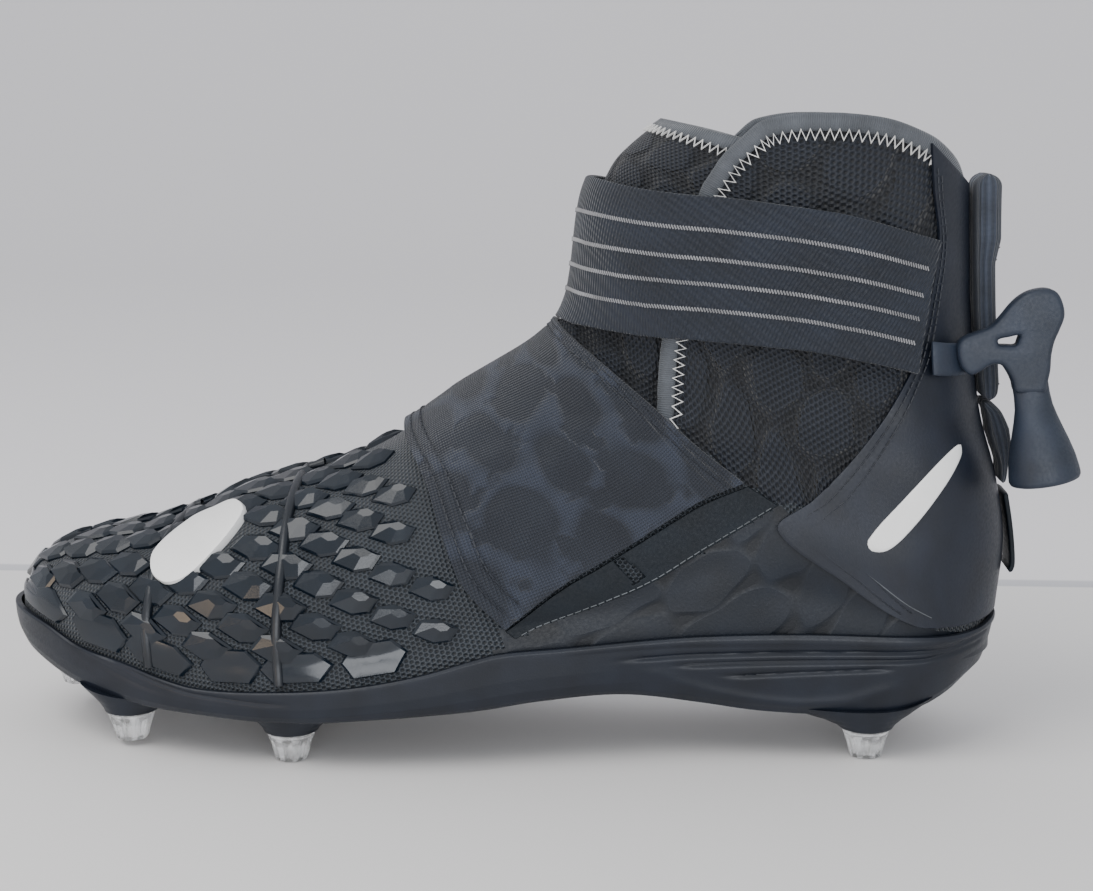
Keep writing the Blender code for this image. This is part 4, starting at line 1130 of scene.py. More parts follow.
STRAP_WEAVE = Finish("midfoot_weave", "strap", (0.015, 0.019, 0.029), 0.72, Pattern.WOVEN, 0.85, 0.28, 0.55,
                     0.15, 20.0, (0.018, 0.023, 0.034), sheen=0.18, cells=0.5, cell_size=(19.0, 23.0),
                     cell_tone=2.1, specular=0.45)
ELASTIC = Finish("elastic_twill", "strap", (0.008, 0.012, 0.021), 0.75, Pattern.RIBBED, 1.1, 0.22, 0.3, 0.25,
                 15.0, sheen=0.2, specular=0.45)
STRIP_SKIN = Finish("strip_skin", "leather", (0.003, 0.006, 0.010), 0.5, Pattern.GRAIN, 1.0, 0.04,
                    specular=0.2)
COUNTER_SKIN = Finish("counter_skin", "leather", (0.004, 0.007, 0.015), 0.46, Pattern.GRAIN, 1.0, 0.05,
                      specular=0.42)
BINDING = Finish("binding_tape", "binding", (0.072, 0.080, 0.092), 0.8, Pattern.RIBBED, 0.9, 0.15, 0.3,
                 sheen=0.3)
LIGHT_THREAD = Finish("light_thread", "thread", (0.62, 0.62, 0.61), 0.6, Pattern.GRAIN, 0.3, 0.05,
                      on_cloth=False)
SILVER_THREAD = Finish("silver_thread", "thread", (0.23, 0.23, 0.24), 0.55, Pattern.GRAIN, 0.3, 0.05,
                       on_cloth=False)
GREY_THREAD = Finish("grey_thread", "thread", (0.10, 0.11, 0.12), 0.6, Pattern.GRAIN, 0.3, 0.05,
                     on_cloth=False)
DARK_THREAD = Finish("dark_thread", "strap", (0.014, 0.017, 0.024), 0.6, Pattern.GRAIN, 0.3, 0.05,
                     on_cloth=False)
FILM = Finish("white_film", "mark", (0.82, 0.82, 0.81), 0.35, Pattern.MOULDED, 1.0, 0.02, mottle=0.03,
              on_cloth=False)
PLATE = Finish("moulded_plate", "plate", (0.007, 0.010, 0.017), 0.42, Pattern.MOULDED, 1.2, 0.03,
               specular=0.36,
               on_cloth=False)
CLEAR_STUD = Finish("clear_stud", "stud", (0.90, 0.91, 0.91), 0.12, Pattern.CLEAR, 1.0, 0.08, mottle=0.05,
                    clear=0.85, on_cloth=False)
SOCK_CLOTH = Finish("insole_cloth", "insole", (0.028, 0.028, 0.030), 0.9, Pattern.KNIT, 1.0, 0.15, 0.4,
                    on_cloth=False)
WEBBING = Finish("ribbed_webbing", "strap", (0.042, 0.052, 0.074), 0.8, Pattern.CORDED, 1.0, 0.3, 0.5,
                 sheen=0.2)
RUBBER = Finish("matt_rubber", "rubber", (0.012, 0.019, 0.034), 0.55, Pattern.MOULDED, 1.0, 0.03,
                on_cloth=False)


@dataclass(frozen=True)
class Crease:
    """A soft trough or ridge drawn in side view, in millimetres; up is below 0 for a trough."""

    places: tuple[tuple[float, float], ...]
    up: float
    width: float


def relief(points: np.ndarray, creases: Sequence[Crease]) -> np.ndarray:
    """Height that the creases add at points of the last.

    Args:
        points: Rows of x, y and z.
        creases: The troughs and ridges, which both sides have.

    Returns:
        Heights in metres.
    """
    total = np.zeros(len(points))
    for crease in creases:
        gap = line_distance(points[:, [0, 2]], np.array(crease.places) * MM)
        total += crease.up * MM * np.exp(-((gap / (crease.width * MM)) ** 2))
    return total


class Bench:
    """Adds finished pieces to the scene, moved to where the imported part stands."""

    def __init__(self) -> None:
        """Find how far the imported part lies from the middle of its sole."""
        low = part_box("outsole_plate")[0]
        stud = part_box("stud_ball_lateral")
        across = next(s for s in STUDS if s.name == "ball_lateral").across * BALL_WIDTH
        self.shift = Vector((low.x - TOE_X, (stud[0].y + stud[1].y) / 2 - across, 0))
        self.last = Last()
        self.counter: bpy.types.Object | None = None

    def piece(
        self, name: str, bm: bmesh.types.BMesh, finish: Finish,
        replaces: Sequence[str] = (), sharp: float = 35.0,
    ) -> bpy.types.Object:
        """Turn a bmesh into a finished piece of the shoe.

        Args:
            name: Name of the piece.
            bm: Its mesh, which is used up.
            finish: Its material.
            replaces: CAD nodes that it stands for.
            sharp: Angle in degrees past which an edge is shaded sharp.

        Returns:
            The piece.
        """
        bmesh.ops.translate(bm, vec=self.shift, verts=bm.verts)
        mesh = bpy.data.meshes.new(name)
        bm.to_mesh(mesh)
        bm.free()
        mesh.shade_smooth()
        mesh.set_sharp_from_angle(angle=math.radians(sharp))
        obj = bpy.data.objects.new(name, mesh)
        mesh.materials.append(finish.build())
        bpy.context.scene.collection.objects.link(obj)
        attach(obj, "root")
        if replaces:
            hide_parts(*replaces)
        LOG.info("%s: %d faces", name, len(mesh.polygons))
        return obj


def grid(
    rows: int, columns: int,
    place: Callable[[np.ndarray, np.ndarray], np.ndarray],
    cloth: Callable[[np.ndarray, np.ndarray], np.ndarray] | None = None,
) -> bmesh.types.BMesh:
    """Grid whose vertices are moved to place(u, w), with cloth coordinates as its UV map.

    Args:
        rows: Faces along u.
        columns: Faces along w.
        place: Points in metres for arrays of u and w, both 0 to 1.
        cloth: Cloth coordinates in millimetres for the same arrays.

    Returns:
        The mesh, with doubles still in it.
    """
    bm = bmesh.new()
    bmesh.ops.create_grid(bm, x_segments=rows, y_segments=columns, size=0.5)
    uw = np.array([vert.co[:2] for vert in bm.verts]) + 0.5
    points = place(uw[:, 0], uw[:, 1])
    for vert, point in zip(bm.verts, points):
        vert.co = point
    if cloth is not None:
        layer = bm.loops.layers.uv.new("cloth")
        coordinates = cloth(uw[:, 0], uw[:, 1])
        bm.verts.index_update()
        for face in bm.faces:
            for loop in face.loops:
                loop[layer].uv = coordinates[loop.vert.index]
    return bm


def weld(bm: bmesh.types.BMesh) -> None:
    """Merge doubled vertices."""
    bmesh.ops.remove_doubles(bm, verts=bm.verts, dist=0.00001)


def close(bm: bmesh.types.BMesh) -> bmesh.types.BMesh:
    """Merge doubles, fill the open ends and turn the faces outwards.

    Args:
        bm: A skin that is closed but for its ends.

    Returns:
        The same mesh.
    """
    weld(bm)
    bmesh.ops.holes_fill(bm, edges=[e for e in bm.edges if e.is_boundary], sides=0)
    bmesh.ops.recalc_face_normals(bm, faces=bm.faces)
    return bm


def stack(rings: Sequence[Sequence[Sequence[float]]]) -> bmesh.types.BMesh:
    """Closed skin through rings of points.

    Args:
        rings: Rings of x, y and z with the same number of points.

    Returns:
        Its mesh, with both ends filled.
    """
    points = np.array(rings)
    rows, around = len(points) - 1, len(points[0])

    def place(u: np.ndarray, w: np.ndarray) -> np.ndarray:
        """Points of the rings, the first of each also standing for its end."""
        return points[np.rint(u * rows).astype(int), np.rint(w * around).astype(int) % around]

    return close(grid(rows, around, place))


def middles_of(bm: bmesh.types.BMesh) -> np.ndarray:
    """Middle of every face, as rows of x, y and z."""
    return np.array([face.calc_center_median() for face in bm.faces])


def cut_faces(bm: bmesh.types.BMesh, outline: np.ndarray) -> None:
    """Delete the faces whose middles lie within an outline in side view.

    Args:
        bm: The mesh.
        outline: Corners of the outline, x and z.
    """
    hits = inside(middles_of(bm)[:, [0, 2]], outline)
    gone = [face for face, hit in zip(bm.faces, hits) if hit]
    bmesh.ops.delete(bm, geom=gone, context="FACES")


def face_out(bm: bmesh.types.BMesh) -> None:
    """Turn an open skin of the last so that its faces look away from the foot.

    Args:
        bm: The skin.
    """
    bm.normal_update()
    middles = middles_of(bm)
    normals = np.array([face.normal for face in bm.faces])
    areas = np.array([face.calc_area() for face in bm.faces])
    x, z = middles[:, 0], middles[:, 2]
    rear = x > along(0.62)
    inner_x = np.where(rear, along(0.80), np.minimum(x, along(0.80)))
    inner_z = np.where(rear, np.where(z > up(0.45), z, up(0.30)), np.minimum(z, up(0.10)))
    inner = np.stack([inner_x, centre_line(x), inner_z], axis=1)
    if (np.einsum("ij,ij->i", normals, middles - inner) * areas).sum() < 0:
        bmesh.ops.reverse_faces(bm, faces=bm.faces)


def thicken(obj: bpy.types.Object, thickness: float, offset: float, rounding: float = 0.0) -> None:
    """Give an open skin its wall and round its edges.

    Args:
        obj: The piece.
        thickness: Of its wall.
        offset: 1 for a wall outside the skin, -1 for one inside it.
        rounding: Radius of the edges of the wall, 0 for none.
    """
    wall = obj.modifiers.new("Wall", "SOLIDIFY")
    wall.thickness = thickness
    wall.offset = offset
    wall.use_quality_normals = True
    if rounding:
        bevel = obj.modifiers.new("Rounded", "BEVEL")
        bevel.width = rounding
        bevel.segments = 2
        bevel.limit_method = "ANGLE"
        bevel.angle_limit = math.radians(60)


def tubes(lines: Sequence[np.ndarray], radius: float, sides: int = 4) -> bmesh.types.BMesh:
    """Round tubes along lines of points.

    Args:
        lines: Rows of x, y and z of each tube's centre.
        radius: Radius in metres.
        sides: Faces round the tube, an even number.

    Returns:
        One mesh with all tubes.
    """
    curve = bpy.data.curves.new("tubes", "CURVE")
    curve.dimensions = "3D"
    curve.bevel_depth = radius
    curve.bevel_resolution = max(sides // 2 - 2, 0)
    curve.use_fill_caps = True
    for line in lines:
        spline = curve.splines.new("POLY")
        spline.points.add(len(line) - 1)
        spline.points.foreach_set("co", np.column_stack([line, np.ones(len(line))]).ravel())
    return from_curve(curve)


def from_curve(curve: bpy.types.Curve) -> bmesh.types.BMesh:
    """Mesh of a curve, which is deleted.

    Args:
        curve: The curve.

    Returns:
        Its mesh.
    """
    holder = bpy.data.objects.new("curve", curve)
    bpy.context.scene.collection.objects.link(holder)
    bpy.context.view_layer.update()
    graph = bpy.context.evaluated_depsgraph_get()
    mesh = bpy.data.meshes.new_from_object(holder.evaluated_get(graph))
    bpy.data.objects.remove(holder)
    bpy.data.curves.remove(curve)
    bm = bmesh.new()
    bm.from_mesh(mesh)
    bpy.data.meshes.remove(mesh)
    weld(bm)
    return bm


def plate_of(outlines: Sequence[np.ndarray], y: float, width: float, rounding: float) -> bmesh.types.BMesh:
    """Solid drawn in side view by outlines, the later ones as holes, with rounded edges.

    Args:
        outlines: Corners of each outline, x and z.
        y: Middle of its thickness.
        width: Its thickness.
        rounding: Radius of the edges.

    Returns:
        Its mesh.
    """
    curve = bpy.data.curves.new("outline", "CURVE")
    curve.dimensions = "2D"
    curve.fill_mode = "BOTH"
    curve.extrude = width / 2 - rounding
    curve.bevel_depth = rounding
    curve.bevel_resolution = 2
    curve.offset = -rounding
    for outline in outlines:
        spline = curve.splines.new("POLY")
        spline.points.add(len(outline) - 1)
        for point, (x, z) in zip(spline.points, outline):
            point.co = (x, z, 0, 1)
        spline.use_cyclic_u = True
    bm = from_curve(curve)
    turn = Matrix.Translation((0, y, 0)) @ Matrix.Rotation(math.pi / 2, 4, "X")
    bmesh.ops.transform(bm, matrix=turn, verts=bm.verts)
    bmesh.ops.recalc_face_normals(bm, faces=bm.faces)
    return bm


def merge(meshes: Sequence[bmesh.types.BMesh]) -> bmesh.types.BMesh:
    """All meshes as one, and the others freed.

    Args:
        meshes: The meshes.

    Returns:
        The joined mesh.
    """
    whole = meshes[0]
    for part in meshes[1:]:
        mesh = bpy.data.meshes.new("part")
        part.to_mesh(mesh)
        part.free()
        whole.from_mesh(mesh)
        bpy.data.meshes.remove(mesh)
    return whole


CREASES = (
    Crease(((-30, 92), (-45, 78), (-52, 60)), -0.5, 5.0),
    Crease(((-100, 62), (-104, 50), (-106, 38)), -0.5, 6.0),
    Crease(((58, 112), (80, 108), (104, 118)), -0.9, 6.0),
    Crease(((62, 98), (86, 96), (108, 110)), 0.7, 6.0),
    Crease(((70, 90), (84, 88), (96, 94)), -0.6, 4.0),
    Crease(((72, 176), (92, 172), (118, 174)), -0.6, 6.0),
    Crease(((24, 48), (44, 50), (66, 58)), -0.5, 6.0),
    Crease(((90, 52), (104, 48), (124, 44)), -0.5, 6.0),
)


@dataclass
class Upper:
    """Cloth upper with its collar opening, its binding and their thread."""

    bench: Bench
    rows: int = 190
    columns: int = 208
    binding_width: float = 0.0046
    edge_line: np.ndarray = field(init=False)
    cut: np.ndarray = field(init=False)

    def __post_init__(self) -> None:
        """Smooth the outline of the opening."""
        self.edge_line = resample(flat(COLLAR_LINE), 260)
        self.cut = np.vstack([self.edge_line, flat(OPEN_AIR)])

    def skin(self) -> None:
        """The wall of the upper, cut open at the collar and throat."""
        last = self.bench.last
        top = float(last.s[-1])

        def spread(u: np.ndarray) -> np.ndarray:
            """Section number at a share of the rows, closer together at the toe."""
            return np.interp(u, [0, 0.16, 1], [0, 4.0, top])

        def place(u: np.ndarray, w: np.ndarray) -> np.ndarray:
            """Point of the skin with its creases.

            Args:
                u: Shares along the shoe.
                w: Shares round the section.

            Returns:
                Rows of x, y and z.
            """
            points = last.at(spread(u), 2 * w - 1)
            return last.at(spread(u), 2 * w - 1, relief(points, CREASES))

        bm = grid(self.rows, self.columns, place, lambda u, w: last.cloth(spread(u), 2 * w - 1))
        weld(bm)
        cut_faces(bm, self.cut)
        self.settle_rim(bm)
        face_out(bm)
        self.paint_regions(bm)
        upper = self.bench.piece("upper_cloth", bm, KNIT_VAMP, ["upper"], 60)
        upper.data.materials.append(QUARTER.build())
        upper.data.materials.append(KNIT_COLLAR.build())
        upper.data.materials.append(LINING.build())
        thicken(upper, UPPER_WALL, -1)
        wall = upper.modifiers["Wall"]
        wall.material_offset = 3
        wall.material_offset_rim = 3

    def settle_rim(self, bm: bmesh.types.BMesh) -> None:
        """Move the rim's vertices onto the opening's outline.

        Args:
            bm: The skin, cut open.
        """
        last = self.bench.last
        for vert in bm.verts:
            if not vert.is_boundary:
                continue
            here = np.array(vert.co.xz)
            target = nearest_on(here, self.edge_line)
            if np.linalg.norm(target - here) > 0.003:
                continue
            side = MEDIAL if vert.co.y > float(centre_line(vert.co.x)) else LATERAL
            s, v = last.find(target[0], target[1], side)
            vert.co = last.at(np.array([s]), np.array([v * side]))[0]

    def paint_regions(self, bm: bmesh.types.BMesh) -> None:
        """Give the quarter and the collar their own materials.

        Args:
            bm: The skin.
        """
        front = flat(STRAP_FRONT)
        rear = flat(STRAP_REAR)
        foot = flat(STRIP_LOWER)
        seam = flat(COUNTER_FRONT)[:4]
        quarter = np.vstack([foot, seam[::-1], [[along(1.1), up(0.1)], [along(0.5), up(0.0)]], front[-1:]])
        collar = np.vstack([rear, seam[-1:], [[along(1.1), up(0.38)], [along(1.1), up(1.1)]],
                            [[along(0.5), up(1.1)], [along(0.52), up(0.66)]]])
        middles = middles_of(bm)[:, [0, 2]]
        in_quarter = inside(middles, quarter)
        in_collar = inside(middles, collar)
        for face, low, high in zip(bm.faces, in_quarter, in_collar):
            face.material_index = 1 if low else 2 if high else 0

    def rim_point(self, way: float, inward: float, side: int, lift: float) -> np.ndarray:
        """Point near the collar's edge.

        Args:
            way: Share of the way along the edge.
            inward: Distance from the edge into the cloth.
            side: LATERAL or MEDIAL.
            lift: Height over the outer face.

        Returns:
            x, y and z.
        """
        line = self.edge_line
        at = way * (len(line) - 1)
        i = min(int(at), len(line) - 2)
        here = line[i] + (line[i + 1] - line[i]) * (at - i)
        run = unit(line[min(i + 3, len(line) - 1)] - line[max(i - 3, 0)])
        place = here + np.array([-run[1], run[0]]) * inward
        return self.bench.last.lay(place[None], side, lift)[0]

    def binding(self) -> None:
        """Grey tape folded over the collar's edge, and its zigzag stitches."""
        start, stop = 0.02, 0.80
        profile = ((self.binding_width, 0.0002), (self.binding_width * 0.9, 0.0006), (0.0008, 0.0007),
                   (-0.0005, -0.0002), (-0.0005, -0.0018), (0.0008, -0.0027),
                   (self.binding_width * 0.9, -0.0026), (self.binding_width, -0.0022))
        for side, label in ((LATERAL, "lateral"), (MEDIAL, "medial")):
            def place(u: np.ndarray, w: np.ndarray, side: int = side) -> np.ndarray:
                """Point of the tape at a share of its length and of its fold.

                Args:
                    u: Shares of its length.
                    w: Shares of its fold.
                    side: LATERAL or MEDIAL.

                Returns:
                    Rows of x, y and z.
                """
                ways = start + (stop - start) * u
                return np.array([self.rim_point(way, inward, side, lift)
                                 for way, inward, lift in zip(ways, *profile_at(profile, w))])

            bm = grid(240, len(profile) - 1, place, lambda u, w: np.stack([w * 12, u * 250], axis=-1))
            weld(bm)
            bmesh.ops.recalc_face_normals(bm, faces=bm.faces)
            face_out(bm)
            tape = self.bench.piece("collar_binding_" + label, bm, BINDING, (), 80)
            thicken(tape, 0.0005, -1)
            self.zigzag(side, label, start + 0.01, stop - 0.01)

    def zigzag(self, side: int, label: str, start: float, stop: float) -> None:
        """Light zigzag thread along the inner edge of the tape.

        Args:
            side: LATERAL or MEDIAL.
            label: Name of the side.
            start: Where on the rim it starts.
            stop: Where it ends.
        """
        length = 0.25 * (stop - start)
        count = int(length / 0.00155)
        points = [
            self.rim_point(start + (stop - start) * k / count,
                           self.binding_width + (0.0024 if k % 2 else -0.0006), side, 0.0007)
            for k in range(count + 1)
        ]
        self.bench.piece("collar_zigzag_" + label, tubes([np.array(points)], ZIGZAG_RADIUS, 6), LIGHT_THREAD)

    def build(self) -> None:
        """Make every piece of the upper."""
        self.skin()
        self.binding()


@dataclass
class Scales:
    """Glossy moulded scales over the vamp, the flat cells along the sole and the cords."""

    bench: Bench
    pitch: float = 0.0206
    row_step: float = 0.0061
    row_shift: float = 0.0010
    first_row: float = 0.0165
    first_scale: float = 0.008
    field_height: float = 0.075
    length: float = 0.0166
    height: float = 0.0092
    proud: float = 0.0021
    seed: int = 11

    def covered(self, place: np.ndarray) -> bool:
        """Whether a place lies in the vamp's scaled field, off the strap and the white shape.

        Args:
            place: x, y and z.

        Returns:
            True where a scale may stand.
        """
        front = flat(STRAP_FRONT)
        limit = float(np.interp(place[2], front[::-1, 1], front[::-1, 0]))
        marked = inside(place[None, [0, 2]], np.array(TOE_MARK) * MM)[0]
        return TOE_X + 0.008 < place[0] < limit - 0.009 and not marked

    def scale(self, centre: np.ndarray, ahead: np.ndarray, across: np.ndarray, size: float,
              rng: random.Random) -> bmesh.types.BMesh:
        """One scale: a long six-sided stone with a lopsided top edge.

        Args:
            centre: Its middle on the vamp.
            ahead: Unit vector towards the heel.
            across: Unit vector down the side.
            size: Scale of the stone.
            rng: Source of its small differences.

        Returns:
            Its mesh.
        """
        out = unit(np.cross(ahead, across))
        if out @ (centre - np.array([centre[0], float(centre_line(centre[0])), 0.03])) < 0:
            out = -out
        half, tall = self.length / 2 * size, self.height / 2 * size
        base = [(-1.0, -0.10), (-0.42, -1.0), (0.28, -0.94), (1.0, 0.10), (0.42, 1.0), (-0.28, 0.94)]
        brow = [(a * 0.86, b * 0.84) for a, b in base]
        top = [(0.02, -0.36), (0.20, -0.60), (0.46, -0.56), (0.68, -0.12), (0.50, 0.08), (0.22, 0.04)]
        tilt = (rng.uniform(-0.3, 0.3), rng.uniform(-0.3, 0.3))
        rings = []
        for ring, low, lean in ((base, -0.0014, 0.0), (base, 0.0005, 0.0), (brow, 0.0012, 0.6),
                                (top, self.proud, 1.0)):
            lifts = [low + lean * 0.0009 * (tilt[0] * a + tilt[1] * b) for a, b in ring]
            rings.append([centre + ahead * ((a + 0.12 * b) * half) + across * (b * tall) + out * lift * size
                          for (a, b), lift in zip(ring, lifts)])
        return stack(rings)

    def field_places(self, side: int) -> list[tuple[float, float]]:
        """Where the scales of one side stand, in staggered rows that run up from the sole.

        Args:
            side: LATERAL or MEDIAL.

        Returns:
            Section number and share round of every scale.
        """
        last = self.bench.last
        places = []
        for row in range(int(self.field_height / self.row_step)):
            from_foot = self.first_row + row * self.row_step
            x = self.first_scale + (row % 2) * self.pitch / 2 + row * self.row_shift
            while x < last.run[-1] * 0.62:
                s = float(np.interp(x, last.run, last.s))
                girth = float(np.interp(s, last.s, last.girth[side]))
                v = 1 - from_foot / max(girth, 1e-6)
                if v * girth > self.row_step * 0.55 and s > 1.2:
                    places.append((s, v))
                x += self.pitch
        return places

    def build(self) -> None:
        """Make the scales, the flat cells and the cord ridges."""
        last = self.bench.last
        rng = random.Random(self.seed)
        stones = []
        for side in (LATERAL, MEDIAL):
            for s, v in self.field_places(side):
                centre = last.at(np.array([s]), np.array([v * side]))[0]
                if not self.covered(centre):
                    continue
                ahead = last.at(np.array([s + 0.3]), np.array([v * side]))[0] - centre
                down = last.at(np.array([s]), np.array([(v + 0.06) * side]))[0] - centre
                ahead = unit(ahead)
                down = unit(down - ahead * (down @ ahead))
                size = float(np.interp(centre[0], [-0.150, -0.135, -0.060, -0.020], [0.75, 1.0, 1.0, 0.82]))
                stones.append(self.scale(centre, ahead, down, size, rng))
        self.bench.piece("vamp_scales", merge(stones), SCALE_GLOSS, (), 5)
        self.cells()
        self.cords()

    def cells(self) -> None:
        """Flat cells in the row along the sole."""
        plates = []
        for side in (LATERAL, MEDIAL):
            x = -0.138
            for wide, tall in itertools.cycle(((0.0140, 0.0088), (0.0122, 0.0100))):
                if x >= -0.022:
                    break
                corners = [(-1.0, 0.0), (-0.66, 1.0), (0.50, 1.0), (1.0, 0.1), (0.66, -0.9), (-0.62, -0.9)]
                ring = [(x + a * wide / 2 * 1.6, (b + 0.9) / 1.9 * tall + 0.0022) for a, b in corners]
                ring = [(px, rise + float(level(RIM_LINE, px))) for px, rise in ring]
                plates.append(self.cell(np.array(ring), side))
                x += wide * 1.62
        self.bench.piece("sole_row_cells", merge(plates), SCALE_GLOSS, (), 20)

    def cell(self, ring: np.ndarray, side: int) -> bmesh.types.BMesh:
        """Flat plate over an outline in side view, following the upper.

        Args:
            ring: Corners of the outline, x and z.
            side: LATERAL or MEDIAL.

        Returns:
            Its mesh.
        """
        middle = ring.mean(axis=0)
        corners = np.vstack([ring, ring[:1]])
        outline = np.vstack([np.linspace(a, b, 6, endpoint=False) for a, b in zip(corners, corners[1:])])
        steps = ((1.0, -0.0008), (1.0, 0.0004), (0.92, 0.0011), (0.6, 0.0012), (0.3, 0.0012), (0.0, 0.0012))
        return stack([self.bench.last.lay(middle + (outline - middle) * share, side, lift)
                      for share, lift in steps])

    def cords(self) -> None:
        """Raised cords under the skin that run down from the ridge to the sole."""
        last = self.bench.last
        lines = []
        tracks = (
            [(-52.9, 84.0), (-57.9, 80.2), (-58.5, 72.6), (-58.3, 60.4), (-58.7, 48.5), (-58.8, 36.7),
             (-58, 25.5)],
            [(-92.0, 70.0), (-97.0, 61.0), (-98.5, 50.0), (-99.2, 40.0), (-98.5, 27.5)],
        )
        for track in tracks:
            line = resample(np.array(track) * MM, 60)
            found = {side: [last.find(x, z, side) for x, z in line] for side in (LATERAL, MEDIAL)}
            s = [p[0] for p in found[LATERAL]][::-1] + [p[0] for p in found[MEDIAL]][1:]
            w = [-p[1] for p in found[LATERAL]][::-1] + [p[1] for p in found[MEDIAL]][1:]
            lines.append(last.at(np.array(s), np.array(w), 0.0006))
        self.bench.piece("vamp_cords", tubes(lines, 0.0016, 10), CORD_SKIN, (), 60)


STRAP_CREASES = (
    Crease(((-14, 92), (0, 98), (12, 96)), 0.5, 3.5),
    Crease(((-4, 84), (6, 90), (16, 84), (26, 90)), 0.45, 2.6),
    Crease(((10, 66), (22, 76), (20, 90), (30, 98)), 0.4, 2.8),
    Crease(((-6, 70), (6, 74), (14, 64), (26, 68)), 0.45, 2.8),
    Crease(((36, 74), (44, 84), (38, 94), (46, 100)), 0.4, 2.8),
    Crease(((6, 52), (18, 58), (30, 62)), -0.4, 4.0),
    Crease(((20, 106), (30, 100), (40, 106)), -0.5, 4.0),
    Crease(((-10, 106), (8, 112), (20, 118)), 0.4, 4.5),
)
ANKLE_CREASES = (
    Crease(((58, 166), (66, 148), (60, 128)), -0.4, 6.0),
    Crease(((84, 162), (88, 144), (92, 124)), -0.35, 5.0),
    Crease(((98, 160), (106, 146), (110, 122)), 0.35, 5.0),
    Crease(((36, 164), (42, 146), (38, 130)), 0.3, 6.0),
    Crease(((74, 158), (100, 150), (122, 140)), -0.2, 4.0),
)
COUNTER_SEAM = ((102.3, 64.1), (111.6, 56.9), (121.8, 48.7), (129.1, 44.2))
COUNTER_CREASES = (
    Crease(((96, 90), (112, 96), (128, 92)), -0.4, 6.0),
    Crease(((116, 108), (126, 118), (134, 136)), -0.5, 5.0),
    Crease(((92, 70), (112, 62), (132, 60)), 0.4, 7.0),
)


